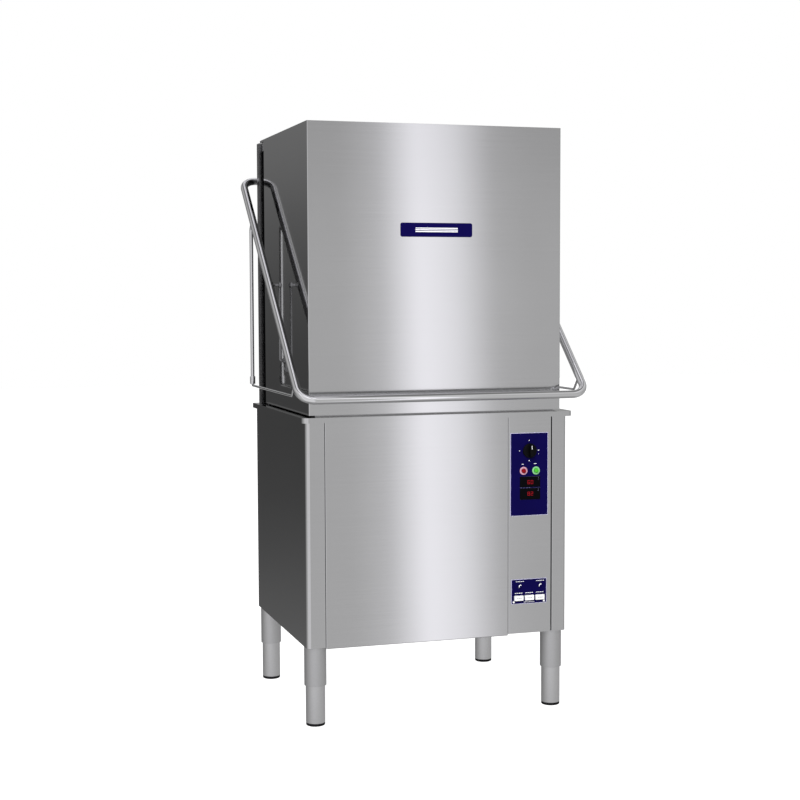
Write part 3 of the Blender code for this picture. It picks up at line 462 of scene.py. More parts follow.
def circle(cx, cy, r, n=40):
    return [(cx + r * math.cos(2 * math.pi * (i + .5) / n), cy + r * math.sin(2 * math.pi * (i + .5) / n)) for i in range(n)]


def hexbolt(name, c, axis, sgn, r, h, m, body, washer=True):
    """Hexagon head with a chamfer on a washer; sgn is the way it stands out."""
    bm = bmesh.new()
    if washer:
        turn([(r * 1.35, 0), (r * 1.35, sgn * h * .22), (r * 1.2, sgn * h * .3)], c, axis, 32, bm)
    n = 6
    rr = [(r * 1.12, sgn * h * .3), (r * 1.12, sgn * h * .85), (r * .98, sgn * h)]
    turn(rr, c, axis, n, bm)
    return put(name, bm, m, body, smooth=25)


def domescrew(name, c, axis, sgn, r, h, m, body):
    prof = [(r, 0.0)] + [(r * math.cos(a), sgn * h * math.sin(a)) for a in [math.radians(x) for x in (12, 28, 44, 60, 75, 86)]]
    bm = turn(prof, c, axis, 28)
    # cross recess drawn as a small four-sided stub on the dome
    turn([(r * .30, sgn * h * .80), (r * .30, sgn * h * 1.02), (r * .16, sgn * h * 1.03)], c, axis, 4, bm)
    return put(name, bm, m, body)


# ------------------------------------------------------------------ camera
cam_d = bpy.data.cameras.new("camera")
cam = bpy.data.objects.new("camera", cam_d)
SC.collection.objects.link(cam)
yaw, pit, rol = math.radians(17.54), math.radians(3.97), math.radians(-0.19)
fwd = Vector((math.sin(yaw) * math.cos(pit), math.cos(yaw) * math.cos(pit), -math.sin(pit)))
rt = Vector((math.cos(yaw), -math.sin(yaw), 0))
up = rt.cross(fwd)
R = rt * math.cos(rol) + up * math.sin(rol)
U = up * math.cos(rol) - rt * math.sin(rol)
cam.matrix_world = Matrix(((R.x, U.x, -fwd.x, -1.25082), (R.y, U.y, -fwd.y, -3.92363), (R.z, U.z, -fwd.z, 1.07763), (0, 0, 0, 1)))
cam_d.sensor_width = 36.0
cam_d.lens = 68.763
cam_d.clip_start, cam_d.clip_end = 0.05, 60
SC.camera = cam
SC.view_settings.view_transform = 'Standard'
SC.view_settings.look = 'None'

# ------------------------------------------------------------------ hood
t = SHEET
outer = [(-HOOD_HX, HOOD_YS)] + arc(-HOOD_HX + .002, HOOD_Y0 + .002, .002, 180, 270, 5) + \
    arc(HOOD_HX - .002, HOOD_Y0 + .002, .002, 270, 360, 5) + [(HOOD_HX, HOOD_YS)]
inner = [(HOOD_HX - t, HOOD_YS)] + [(HOOD_HX - t, HOOD_Y0 + t), (-HOOD_HX + t, HOOD_Y0 + t)] + [(-HOOD_HX + t, HOOD_YS)]
put("hood_walls", prism(outer + inner, 'Z', HOOD_Z0, 1.4940), STEEL, "hood", rep=("hood_shell",), smooth=30, flat=True)
rings = []
for ins, z in ((0, 1.4940), (0, 1.49965), (.00008, 1.49985), (.00020, 1.49997), (.00035, 1.5000)):
    rings.append([(p[0], p[1], z) for p in rrect(-HOOD_HX + ins, HOOD_HX - ins, HOOD_Y0 + ins, HOOD_YR - ins, .002 - ins, 5)])
put("hood_roof", loft(rings), STEEL, "hood", rep=("hood_shell",), smooth=30, flat=True)
# badge without lettering: film plate and three plain bars
bx0, bx1, bz0, bz1 = -0.0967, 0.0929, 1.2198, 1.2549
by = HOOD_Y0 - 0.0018
put("badge_plate", prism(rrect(bx0, bx1, bz0, bz1, .005, 6), 'Y', by, HOOD_Y0 - GAP), NAVY, "hood",
    rep=("hood_badge",), bevel=.0005)
for i, (w, z0, z1) in enumerate(((.112, 1.2405, 1.2427), (.112, 1.2362, 1.2384), (.112, 1.2319, 1.2341))):
    cx = (bx0 + bx1) / 2
    put("badge_bar_%d" % i, prism(rrect(cx - w / 2, cx + w / 2, z0, z1, .001, 3), 'Y', by - .00015, by + .0004), INK, "hood")
for s, sx in (("left", -1), ("right", 1)):
    # link bracket: bevelled plate, turned boss, domed screw
    x0, x1 = sorted((sx * .3351, sx * .3380))
    bm = prism(rrect(PIN_Y - .012, PIN_Y + .012, LINK_Z0 - .030, LINK_Z0 + .012, .004, 5), 'X', x0, x1)
    put("bracket_plate_" + s, bm, DARKST, "hood", rep=("hood_bracket_" + s,), bevel=.0005)
    put("bracket_boss_" + s, turn([(.0072, sx * .3378), (.0072, sx * .3419), (.0066, sx * .3425)], (0, PIN_Y, LINK_Z0), 'X', 40),
        DARKST, "hood")
    domescrew("bracket_screw_" + s, (sx * .3380, PIN_Y, LINK_Z0 - .021), 'X', sx, .0042, .0022, DARKST, "hood")

# ------------------------------------------------------------------ deck
def deck_line(ins, rear=0.0, n=8):
    x, y0, r = CAB_HX + RIM_SIDE - ins, CAB_Y0 - RIM_FRONT + ins, .016 - ins
    return [(-x, CAB_Y1 - rear)] + arc(-x + r, y0 + r, r, 180, 270, n) + arc(x - r, y0 + r, r, 270, 360, n) + [(x, CAB_Y1 - rear)]


put("deck_top", holed_prism(deck_line(.0005), [rrect(-TANK_HX, TANK_HX, WY - TANK_HY, WY + TANK_HY, .03, 8)], 'Z', DECK_Z - SHEET, DECK_Z), DECK_STEEL_PAINTED_TOP_SHADE,
    "base", rep=("deck",), smooth=30)
put("deck_rim", prism(deck_line(0) + deck_line(.0020)[::-1], 'Z', DECK_Z - RIM_H, DECK_Z - .0004), STEEL, "base", smooth=30, flat=True)
put("deck_rear_edge", box(-CAB_HX - RIM_SIDE + .0006, CAB_HX + RIM_SIDE - .0006, CAB_Y1 + .0002, CAB_Y1 + .0016, DECK_Z - .0126, DECK_Z - .0004), STEEL, "base",
    bevel=.0004)

# ------------------------------------------------------------------ cabinet
TOP_Z = DECK_Z - RIM_H - GAP
for s, sx in (("left", -1), ("right", 1)):
    xe = abs(FRONT_X0) + .0010 if sx < 0 else CTRL_X1 + .0026
    op = [(CAB_HX, CAB_Y1)] + arc(CAB_HX - CORNER_R, CAB_Y0 + CORNER_R, CORNER_R, 0, -90, 16) + arc(xe + .0012, CAB_Y0 + .0012, .0012, -90, -180, 4)
    ip = [(xe, CAB_Y0 + .014), (xe + SHEET, CAB_Y0 + .014), (xe + SHEET, CAB_Y0 + SHEET)] + \
        arc(CAB_HX - CORNER_R, CAB_Y0 + CORNER_R, CORNER_R - SHEET, -90, 0, 16) + [(CAB_HX - SHEET, CAB_Y1)]
    put("cabinet_side_" + s, prism([(sx * p[0], p[1]) for p in op + ip], 'Z', CAB_Z0, TOP_Z), STEEL, "base",
        rep=("side_panel_" + s,), smooth=30, flat=True)


def folded(x0, x1, z0, z1, holes=()):
    """Front plate with rounded vertical edges and two returns."""
    bm = holed_prism([(x0 + .0016, z0), (x1 - .0016, z0), (x1 - .0016, z1), (x0 + .0016, z1)], list(holes), 'Y', CAB_Y0, CAB_Y0 + SHEET)
    for a, b in ((x0, 1), (x1, -1)):
        pts = arc(a + b * .0016, CAB_Y0 + .0016, .0016, 270, 180, 5) if b > 0 else arc(a + b * .0016, CAB_Y0 + .0016, .0016, 270, 360, 5)
        pts = pts + [(a, CAB_Y0 + .014), (a + b * SHEET, CAB_Y0 + .014), (a + b * SHEET, CAB_Y0 + SHEET), (a + b * .0016, CAB_Y0 + SHEET)]
        prism(pts, 'Z', z0, z1, bm)
    return bm


put("front_door", folded(FRONT_X0, CTRL_X0 - .0004, .1975, TOP_Z), STEEL, "base", rep=("front_panel",), smooth=30, flat=True)
# painted shade: a thin dark steel strip along the door's lower edge stands in for the shade line there
put("door_bottom_painted_shade_line", box(FRONT_X0 + .003, CTRL_X0 - .003, CAB_Y0 - .0004, CAB_Y0 + .0012, .1976, .1986), DARKST, "base")
put("control_door", folded(CTRL_X0, CTRL_X1, CAB_Z0, TOP_Z), STEEL, "base", rep=("control_cover",), smooth=30, flat=True)

# ------------------------------------------------------------------ legs
for tag, lx, ly in (("front_left", -LEG_X, LEG_YF), ("front_right", LEG_X, LEG_YF), ("rear_left", -LEG_X, LEG_YR), ("rear_right", LEG_X, LEG_YR)):
    c = (lx, ly, 0)
    prof = [(LEG_R + .0005, .196), (LEG_R + .0005, SLEEVE_Z0 + .0004), (LEG_R + .0010, SLEEVE_Z0), (SLEEVE_R - .0008, SLEEVE_Z0),
            (SLEEVE_R - .0002, SLEEVE_Z0 + .0003), (SLEEVE_R, SLEEVE_Z0 + .0010), (SLEEVE_R, CAB_Z0 - GAP)]
    put("sleeve_" + tag, turn(prof, c, 'Z', 72), LEG, "base", rep=("leg_sleeve_" + tag,))
    prof = [(LEG_R - .002, .012), (LEG_R - .002, .187), (LEG_R, .187), (LEG_R, .0082), (LEG_R - .0004, .0075), (.0226, .0074)]
    foot = put("foot_tube_" + tag, turn(prof, c, 'Z', 72, cap=True), LEGF, "foot_" + tag, rep=("leg_foot_" + tag,))
    prof = [(.0219, .0125), (.0219, .0078), (.0240, .0072), (.0240, .0020), (.0232, .0008), (.0215, 0.0)]
    put("foot_cap_" + tag, turn(prof, c, 'Z', 72), RUBBER, "foot_" + tag)
    # domed screw head of the levelling plug
    domescrew("sleeve_screw_" + tag, (lx, ly + (SLEEVE_R - .0002 if ly > 0 else SLEEVE_R - .0002), .150), 'Y', 1, .0036, .0018, LEG, "base")

# ------------------------------------------------------------------ lift handle
def hp(x, s):
    q = PV + ARM_D * s
    return (x, q.y, q.z)


path = rounded([hp(-.3003, 0), hp(-ARM_X, 0), hp(-ARM_X, ARM_LEN), hp(ARM_X, ARM_LEN), hp(ARM_X, 0), hp(.3003, 0)],
               [BEND_R2, BEND_R, BEND_R, BEND_R2], 18)
bm = sweep(path, [TUBE_R] * len(path), 40)
put("handle_tube", bm, HANDLE_PAINTED_SHADE, "handle", rep=("lift_handle",))
for s, sx in (("left", -1), ("right", 1)):
    c = (0, PIN_Y, PIN_Z)
    put("link_pin_" + s, turn([(.0040, sx * .3740), (.0040, sx * .3446), (.0034, sx * .3440)], c, 'X', 28), DARKST, "handle")
    put("link_pin_washer_" + s, turn([(.0072, sx * .3457), (.0076, sx * .3460), (.0076, sx * .3466), (.0072, sx * .3469)], c, 'X', 36),
        DARKST, "handle")
    put("pin_weld_" + s, turn([(.0040, sx * .3615), (.0052, sx * .3640), (.0066, sx * .3662), (.0085, sx * .3685)], c, 'X', 32),
        DARKST, "handle")

    # brace: rod, ferrule, tie rod, hook
    def on_arm(y):
        return PV + ARM_D * ((PIV_Y - y) / math.cos(ARM_ANG))
    top = on_arm(BRACE_Y - .0215) - ARM_N * (TUBE_R + .0006)
    low = on_arm(-.3090) - ARM_N * (TUBE_R + .0006)
    x = sx * ARM_X
    knee = top - ARM_N * ((BRACE_Y - top.y) / math.sin(ARM_ANG))
    head = top + ARM_N * .004
    upper = rounded([(x, head.y, head.z), (x, BRACE_Y, knee.z), (x, BRACE_Y, .8536)], [.014], 10)
    pts = [tuple(p) for p in upper]
    put("brace_rod_" + s, sweep(pts, [.005] * len(pts), 24), HANDLE_PAINTED_SHADE, "handle", rep=("handle_brace_" + s,))
    put("brace_ferrule_" + s, turn([(.0050, .8545), (.0066, .8540), (.0072, .8530), (.0072, .8470), (.0068, .8465), (.0072, .8460), (.0072, .8345),
                                    (.0066, .8336), (.0034, .8330)], (x, BRACE_Y, 0), 'Z', 36), HANDLE_PAINTED_SHADE, "handle")
    heel = low - ARM_N * ((low.z - BRACE_Z) / math.cos(ARM_ANG))
    tl = low + ARM_N * .004
    tail = rounded([(x, BRACE_Y, .8420), (x, BRACE_Y, BRACE_Z), (x, heel.y, BRACE_Z), (x, tl.y, tl.z)], [.006, .008], 8)
    put("tie_rod_" + s, sweep(tail, [.0032] * len(tail), 20), HANDLE_PAINTED_SHADE, "handle", rep=("handle_brace_" + s,))
    put("brace_weld_" + s, sweep([head, top - ARM_N * .0005, top - ARM_N * .003], [.0076, .0070, .0050], 24), HANDLE_PAINTED_SHADE, "handle")

    # link rod with eye
    lx = sx * LINK_X
    bm = turn([(.0046, -.0028), (.0078, -.0028), (.0082, -.0024), (.0082, .0024), (.0078, .0028), (.0046, .0028)], (lx, PIN_Y, PIN_Z), 'X', 40, close=True)
    rod = rounded([(lx, PIN_Y, PIN_Z - .0070), (lx, PIN_Y, LINK_Z0), (sx * .3430, PIN_Y, LINK_Z0)], [.0055], 8)
    sweep(rod, [.0030] * len(rod), 20, bm)
    put("link_" + s, bm, DARKST, "link_" + s, rep=("link_rod_" + s,))

# ------------------------------------------------------------------ cross shaft, levers, bearings, springs
bm = sweep([(-.2999, PIV_Y, PIV_Z), (.2999, PIV_Y, PIV_Z)], [.008, .008], 36)
put("cross_shaft", bm, STEEL_IN, "handle", rep=("counterbalance_shaft",))
tip = Vector((0, SPRING_Y, TIP_Z))
bk = (tip - PV).normalized()
bu = Vector((0, -bk.z, bk.y))
for s, sx in (("left", -1), ("right", 1)):
    pts = []
    for k in range(25):
        a = math.radians(90 + 180 * k / 24)
        q = PV + (bk * math.cos(a) + bu * math.sin(a)) * .016
        pts.append((q.y, q.z))
    for k in range(19):
        a = math.radians(-90 + 180 * k / 18)
        q = tip + (bk * math.cos(a) + bu * math.sin(a)) * .0085
        pts.append((q.y, q.z))
    put("lever_" + s, prism(pts, 'X', sx * .250 - .003, sx * .250 + .003), STEEL_IN, "handle", bevel=.0007)
    x0, x1 = sx * .253, sx * .268
    put("lever_pin_" + s, turn([(.0035, x0), (.0035, sx * .2672), (.0029, x1)], (0, tip.y, tip.z), 'X', 24), POLISH, "handle")
    put("lever_collar_" + s, turn([(.0115, sx * .2405), (.0120, sx * .2410), (.0120, sx * .2465), (.0115, sx * .2470)], (0, PIV_Y, PIV_Z), 'X', 36),
        STEEL_IN, "handle")
    # closely wound coil with a straight leg at the bottom and a loop at the top
    cx, cy = sx * SPRING_X, SPRING_Y
    zb, zt = .9160, 1.3960
    turns, per = 68, 14
    R0, w = .0088, .0019
    pts = [(cx, cy, .8936), (cx, cy, .9040)]
    for i in range(turns * per + 1):
        a = 2 * math.pi * i / per
        k = min(1.0, i / 10.0, (turns * per - i) / 10.0)
        pts.append((cx + R0 * k * math.cos(a), cy + R0 * k * math.sin(a), zb + (zt - zb) * i / (turns * per)))
    loopc = Vector((cx, cy, TIP_Z))
    pts.append((cx, cy, zt + .008))
    for k in range(0, 15):
        a = math.radians(-100 + 300 * k / 14)
        pts.append((cx + .0005, cy + .0062 * math.cos(a) * (1 if k else .2), TIP_Z + .0062 * math.sin(a)))
    bm = sweep(pts, [w] * len(pts), 8)
    sp = put("spring_coil_" + s, bm, SPRINGM, "base", rep=("counterbalance_spring_" + s,), smooth=60)
    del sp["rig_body"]
    mw = sp.matrix_world.copy()
    sp.parent = None
    sp.matrix_world = mw
    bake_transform(sp)
    for k, dz in enumerate((-.027, .022)):
        hexbolt("bearing_bolt_%s_%d" % (s, k), (sx * .3195, COL_Y1 + .0205 if dz < 0 else COL_Y1 + .0195, PIV_Z + dz - (.0 if dz < 0 else .006)), 'Y', 1, .0042, .0040,
                POLISH, "base")

# ------------------------------------------------------------------ controls
def flat_ring(x0, x1, z0, z1, r, w, y0, y1, name, m, body="base"):
    bm = holed_prism(rrect(x0, x1, z0, z1, r, 5), [rrect(x0 + w, x1 - w, z0 + w, z1 - w, max(r - w, .0003), 5)], 'Y', y0, y1)
    return put(name, bm, m, body)


fas = FASCIA
holes = [circle(KNOB[0], KNOB[1], .0050, 32), circle(STOP_BTN[0], STOP_BTN[1], .0060, 32), circle(START_BTN[0], START_BTN[1], .0060, 32)]
for d in (DISP_1, DISP_2):
    holes.append([(d[0] - .0003, d[2] - .0003), (d[1] + .0003, d[2] - .0003), (d[1] + .0003, d[3] + .0003), (d[0] - .0003, d[3] + .0003)])
put("fascia_film", holed_prism(rrect(fas[0] + .0009, fas[1] - .0009, fas[2] + .0009, fas[3] - .0009, .0018, 5), holes, 'Y', FY0, FY1), NAVY, "base",
    rep=("control_fascia",))
flat_ring(fas[0], fas[1], fas[2], fas[3], .0022, .0010, FY0 + .0003, FY1, "fascia_edge", EDGE)


def mark(name, x, z, w, h, y=FY0, r=None, m=None, body="base"):
    m = m or INK
    r = min(w, h) * .45 if r is None else r
    return put(name, prism(rrect(x - w / 2, x + w / 2, z - h / 2, z + h / 2, r, 4), 'Y', y - .00012, y + .0003), m, body)


# knob: skirt, grip bar, pointer line
kx, kz = KNOB
prof = [(.0042, .006), (.0042, -.0006), (.0182, -.0007), (.0188, -.0011), (.0190, -.0018), (.0188, -.0034), (.0178, -.0046), (.0160, -.0052), (.0100, -.0054)]
put("knob_skirt", turn(prof, (kx, FY0, kz), 'Y', 64), BLACK, "knob", rep=("program_knob",))
ang = math.radians(91)
ux, uz = math.cos(ang), math.sin(ang)
grip = []
for px, pz in arc(.0125, 0, .0042, -80, 80, 8) + arc(-.0125, 0, .0042, 100, 260, 8):
    grip.append((kx + px * ux - pz * uz, kz + px * uz + pz * ux))
gc = (kx, kz)
rg = []
for k, dy in ((1.08, -.0050), (1.0, -.0062), (.97, -.0120), (.94, -.0158), (.88, -.0172), (.76, -.0178)):
    rg.append([(gc[0] + (p[0] - gc[0]) * k, FY0 + dy, gc[1] + (p[1] - gc[1]) * k) for p in grip])
put("knob_grip", loft(rg), BLACK, "knob", smooth=45)
a0, a1 = .0045, .0138
pw = .0007
ln = [(kx + a * ux - b * uz, kz + a * uz + b * ux) for a, b in ((a0, -pw), (a1, -pw), (a1, pw), (a0, pw))]
put("knob_pointer", prism(ln, 'Y', FY0 - .01795, FY0 - .0174), INK, "knob")
for i, (x, z, r) in enumerate(((.2427, .7013, .0013), (.2428, .6494, .0013), (.2162, .6751, .0011), (.2688, .6753, .0015))):
    put("dial_dot_%d" % i, prism(circle(x, z, r, 20), 'Y', FY0 - .00012, FY0 + .0003), INK, "base")
put("dial_tick", prism(circle(.2691, .6652, .0006, 12), 'Y', FY0 - .00012, FY0 + .0003), INK, "base")
for nm, (cx, cz), rim, lens, body in (("stop", STOP_BTN, RED_RIM, REDB, "stop_button_body"), ("start", START_BTN, GREEN_RIM, GREENB, "start_button_body")):
    prof = [(.0060, -.0001), (.0103, -.0001), (.0105, -.0006), (.0104, -.0018), (.0097, -.0026), (.0074, -.0028), (.0063, -.0022), (.0060, -.0012)]
    put(nm + "_bezel", turn(prof, (cx, FY0, cz), 'Y', 56, close=True), rim, "base")
    prof = [(.0052, .012), (.0055, .0115), (.0055, -.0050), (.0051, -.0061), (.0043, -.0068), (.0030, -.0071), (.0012, -.0072)]
    put(nm + "_lens", turn(prof, (cx, FY0, cz), 'Y', 48), lens, body, rep=(nm + "_button",))
mark("stop_dash", .2248, .6402, .0062, .0013)
mark("start_dash", .2595, .6407, .0078, .0013)
SEG = {'0': 'abcdef', '1': 'bc', '2': 'abged', '3': 'abgcd', '4': 'fgbc', '5': 'afgcd', '6': 'afgedc', '7': 'abc', '8': 'abcdefg', '9': 'abcdfg'}


def digit(name, ch, x, z, w, h, y):
    tck = h * .13
    s = {'a': (x, x + w, z + h - tck, z + h), 'g': (x, x + w, z + h / 2 - tck / 2, z + h / 2 + tck / 2), 'd': (x, x + w, z, z + tck),
         'f': (x, x + tck, z + h / 2, z + h), 'e': (x, x + tck, z, z + h / 2), 'b': (x + w - tck, x + w, z + h / 2, z + h),
         'c': (x + w - tck, x + w, z, z + h / 2)}
    bm = bmesh.new()
    for k in SEG[ch]:
        x0, x1, z0, z1 = s[k]
        g = tck * .12
        prism([(x0 + g, z0 + g), (x1 - g, z0 + g), (x1 - g, z1 - g), (x0 + g, z1 - g)], 'Y', y - .00015, y + .0002, bm)
    return put(name, bm, LED, "base")


for nm, d, txt, zz in (("upper", DISP_1, "60", (.5885, .5985)), ("lower", DISP_2, "82", (.5587, .5687))):
    put("window_" + nm, prism(rrect(d[0], d[1], d[2], d[3], .0008, 3), 'Y', FY0 - .0006, CAB_Y0 + .004), WINDOW, "base",
        rep=("display_" + nm,), bevel=.0003)
    wd = .0066
    digit("digit_%s_a" % nm, txt[0], .2382, zz[0], wd, zz[1] - zz[0], FY0 - .0006)
    digit("digit_%s_b" % nm, txt[1], .2382 + wd + .0024, zz[0], wd, zz[1] - zz[0], FY0 - .0006)
    mark("unit_dot_" + nm, .2683, zz[1] + .0057, .0016, .0016, FY0 - .0006, m=DIM)
    mark("scale_dash_" + nm, .2680, zz[1] + .0020, .0030, .0007, FY0 - .0006, m=DIM)
for i in range(4):
    mark("legend_%d" % i, .2215 + .0075 * i, .5793, .0042, .0009, m=DIM)

# dosing plate
do = DOSING
holes = [circle(TRIM_1[0], TRIM_1[1], .0058, 28), circle(TRIM_2[0], TRIM_2[1], .0058, 28)]
for cx in DBTN_X:
    holes.append([(cx - .0128, DBTN_Z - .0071), (cx + .0128, DBTN_Z - .0071), (cx + .0128, DBTN_Z + .0071), (cx - .0128, DBTN_Z + .0071)])
put("dosing_film", holed_prism(rrect(do[0] + .0009, do[1] - .0009, do[2] + .0009, do[3] - .0009, .0015, 5), holes, 'Y', FY0, FY1), NAVY, "base",
    rep=("dosing_plate",))
flat_ring(do[0], do[1], do[2], do[3], .0020, .0010, FY0 + .0003, FY1, "dosing_edge", EDGE)
for s, (cx, cz) in (("left", TRIM_1), ("right", TRIM_2)):
    bm = turn([(.0053, .010), (.0053, -.0020), (.0050, -.0026), (.0044, -.0028)], (cx, FY0, cz), 'Y', 40)
    put("trimmer_" + s, bm, NAVY, "dosing_trimmer_%s_body" % s, rep=("dosing_trimmer_" + s,))
    arc_o = arc(cx + .0012, cz - .0008, .0049, 58, 205, 14)
    arc_i = arc(cx + .0018, cz - .0014, .0034, 205, 62, 14)
    put("trimmer_arc_" + s, prism(arc_o + arc_i, 'Y', FY0 - .00295, FY0 - .0024), INK, "dosing_trimmer_%s_body" % s)
    for k in range(5):
        mark("trim_label_%s_%d" % (s, k), cx - .0088 + .0046 * k, .3362, .0036, .0016)
for i, cx in enumerate(DBTN_X):
    pts = rrect(cx - .0123, cx + .0123, DBTN_Z - .0066, DBTN_Z + .0066, .0012, 4)
    put("dose_key_%d" % (i + 1), prism(pts, 'Y', FY0 - .0042, CAB_Y0 + .006), WHITE, "dosing_button_%d_body" % (i + 1),
        rep=("dosing_button_%d" % (i + 1),), bevel=.0008, seg=3)
    for k in range(3):
        mark("dose_key_mark_%d_%d" % (i + 1, k), cx - .0046 + .0046 * k, DBTN_Z, .0036, .0019, FY0 - .0042, m=GREYP, body="dosing_button_%d_body" % (i + 1))
    for k in range(4):
        mark("dose_label_%d_%d" % (i, k), cx - .0084 + .0056 * k, .3062, .0046, .0016)
mark("dose_rule", .2438, .2822, .030, .0009)
for i, (x, z) in enumerate(((.2010, .2832), (.2850, .2826))):
    domescrew("dosing_screw_%d" % i, (x, FY0, z), 'Y', -1, .0029, .0012, WHITE, "base")

# ------------------------------------------------------------------ wash arms
def arm(name, z0, z1, half, wide, hub, angle, node, m, jets_up):
    ca, sa = math.cos(angle), math.sin(angle)

    def rot(p):
        return (WX + p[0] * ca - p[1] * sa, WY + p[0] * sa + p[1] * ca)
    body = node + "_body"
    rings = []
    zm = (z0 + z1) / 2
    hz = (z1 - z0) / 2 - .001
    for k in range(9):
        a = -math.pi / 2 + math.pi * k / 8
        inset = wide * .42 * (1 - math.cos(a))
        z = zm + hz * math.sin(a)
        w = wide - inset
        pts = arc(half - wide, 0, w, -90, 90, 10) + arc(-half + wide, 0, w, 90, 270, 10)
        rings.append([(*rot(p), z) for p in pts])
    put(name + "_blade", loft(rings), m, body, rep=(node,), smooth=50)
    put(name + "_hub", turn([(.0066, z0), (hub - .001, z0), (hub, z0 + .001), (hub, z1 - .001), (hub - .001, z1), (.0066, z1)], (WX, WY, 0), 'Z', 48, close=True),
        m, body)
    bm = bmesh.new()
    zt = z1 - .0012 if jets_up else z0 + .0012
    sg = 1 if jets_up else -1
    n = 5
    for sgn in (-1, 1):
        for k in range(n):
            d = sgn * (.050 + (half - .075) * k / (n - 1))
            q = rot((d, sgn * wide * .15))
            turn([(.0015, sg * -.0010), (.0042, sg * -.0008), (.0046, 0.0), (.0042, sg * .0010), (.0018, sg * .0012), (.0016, sg * .0001)],
                 (q[0], q[1], zt), 'Z', 20, bm, close=False)
    put(name + "_jets", bm, POLISH, body)


arm("lower_wash", .7372, .7552, .212, .017, .026, math.radians(35), "lower_wash_arm", STEEL_IN, True)
arm("lower_rinse", .7556, .7684, .205, .010, .020, math.radians(100), "lower_rinse_arm", STEEL_IN, True)
arm("upper_rinse", 1.2092, 1.2220, .205, .010, .020, math.radians(60), "upper_rinse_arm", STEEL_IN, False)
arm("upper_wash", 1.2226, 1.2456, .212, .017, .026, math.radians(-25), "upper_wash_arm", STEEL_IN, False)

# ------------------------------------------------------------------ perforated strainer
def perforated(name, col):
    m, tr, b = base_mat(name)
    b.inputs["Metallic"].default_value = 1.0
    b.inputs["Base Color"].default_value = (*col, 1)
    vec = coords(tr, (180, 180, 0))
    vo = nd(tr, "ShaderNodeTexVoronoi")
    vo.inputs["Scale"].default_value = 1.0
    vo.inputs["Randomness"].default_value = 0.0
    tr.links.new(vec, vo.inputs["Vector"])
    f = remap(tr, vo.outputs["Distance"], 0.0, 1.0, .26, .32)
    tr.links.new(tint(tr, f, (.004, .004, .004), col), b.inputs["Base Color"])
    tr.links.new(remap(tr, f, .9, .32, 0, 1), b.inputs["Roughness"])
    bump(tr, f, .6, .0006, b)
    return m


PERF = perforated("steel_perforated", (.52, .52, .525))
bm = prism(rrect(-.2545, .2545, WY - .2175, WY + .2175, .0265, 8), 'Z', .6916, .6921)
put("strainer_mesh", holed_prism(rrect(-.2544, .2544, WY - .2174, WY + .2174, .0265, 8), [circle(WX, WY, .0236, 48)], 'Z', .6916, .6921), PERF, "base")
bm.free()

# ------------------------------------------------------------------ carried-over nodes
KEEP = {
    "base_pan": STEEL_IN, "rear_panel": STEEL, "rear_wall": STEEL_IN, "rear_column_left": STEEL_COL, "rear_column_right": STEEL_COL,
    "shaft_bearing_left": GREYP, "shaft_bearing_right": GREYP, "spring_anchor_bar": STEEL_IN, "hood_roof_liner": STEEL_IN,
    "hood_runner_left": SEAL, "hood_runner_right": SEAL, "electrical_box": GREYP, "tank": STEEL_IN, "tank_strainer": STEEL_IN,
    "lower_spindle": STEEL_IN, "wash_riser": STEEL_IN, "rack_rails": STEEL_IN, "wash_pump": CAST, "booster_tank": STEEL_IN,
}
for n, m in KEEP.items():
    NODES[n].material_slots[0].material = m

# rear details: louvres and screws on the rear panel
for i in range(9):
    z = .300 + .020 * i
    pts = [(CAB_Y1 - .0004, z), (CAB_Y1 + .0030, z + .001), (CAB_Y1 + .0034, z + .003), (CAB_Y1 - .0004, z + .011)]
    put("louvre_%d" % i, prism(pts, 'X', -.110, .110), STEEL, "base", bevel=.0006)
for i, (x, z) in enumerate(((-.325, .235), (0, .235), (.325, .235), (-.325, .48), (.325, .48), (-.325, .735), (0, .735), (.325, .735))):
    domescrew("rear_screw_%d" % i, (x, CAB_Y1, z), 'Y', 1, .0045, .0022, POLISH, "base")

# ------------------------------------------------------------------ floor and light
fm, ft, fb = base_mat("floor_white")
ft.nodes.remove(fb)
out = ft.nodes["Material Output"]
em = nd(ft, "ShaderNodeEmission")
em.inputs["Color"].default_value = (1, 1, 1, 1)
em.inputs["Strength"].default_value = 1.02
df = nd(ft, "ShaderNodeBsdfDiffuse")
df.inputs["Color"].default_value = (.30, .30, .30, 1)
ad = nd(ft, "ShaderNodeAddShader")
ft.links.new(em.outputs[0], ad.inputs[0])
ft.links.new(df.outputs[0], ad.inputs[1])
ft.links.new(ad.outputs[0], out.inputs["Surface"])
bm = bmesh.new()
loft([[(-14, -14, -.03), (14, -14, -.03), (14, 14, -.03), (-14, 14, -.03)], [(-14, -14, 0), (14, -14, 0), (14, 14, 0), (-14, 14, 0)]], True, bm)
me = bpy.data.meshes.new("floor")
bmesh.ops.recalc_face_normals(bm, faces=bm.faces[:])
bm.to_mesh(me)
bm.free()
me.materials.append(fm)
floor = bpy.data.objects.new("floor", me)
SC.collection.objects.link(floor)
floor.visible_glossy = False
floor.visible_diffuse = False
floor.visible_transmission = False
floor.visible_shadow = False

w = bpy.data.worlds.new("studio")
SC.world = w
w.use_nodes = True
wt = w.node_tree
for n in list(wt.nodes):
    wt.nodes.remove(n)
wo = nd(wt, "ShaderNodeOutputWorld")
tc = nd(wt, "ShaderNodeTexCoord")
sp = nd(wt, "ShaderNodeSeparateXYZ")
wt.links.new(tc.outputs["Generated"], sp.inputs[0])


def wmath(op, a, b=None, clamp=False):
    n = nd(wt, "ShaderNodeMath", operation=op)
    n.use_clamp = clamp
    for i, v in enumerate((a, b)):
        if v is None:
            continue
        if isinstance(v, (int, float)):
            n.inputs[i].default_value = v
        else:
            wt.links.new(v, n.inputs[i])
    return n.outputs[0]


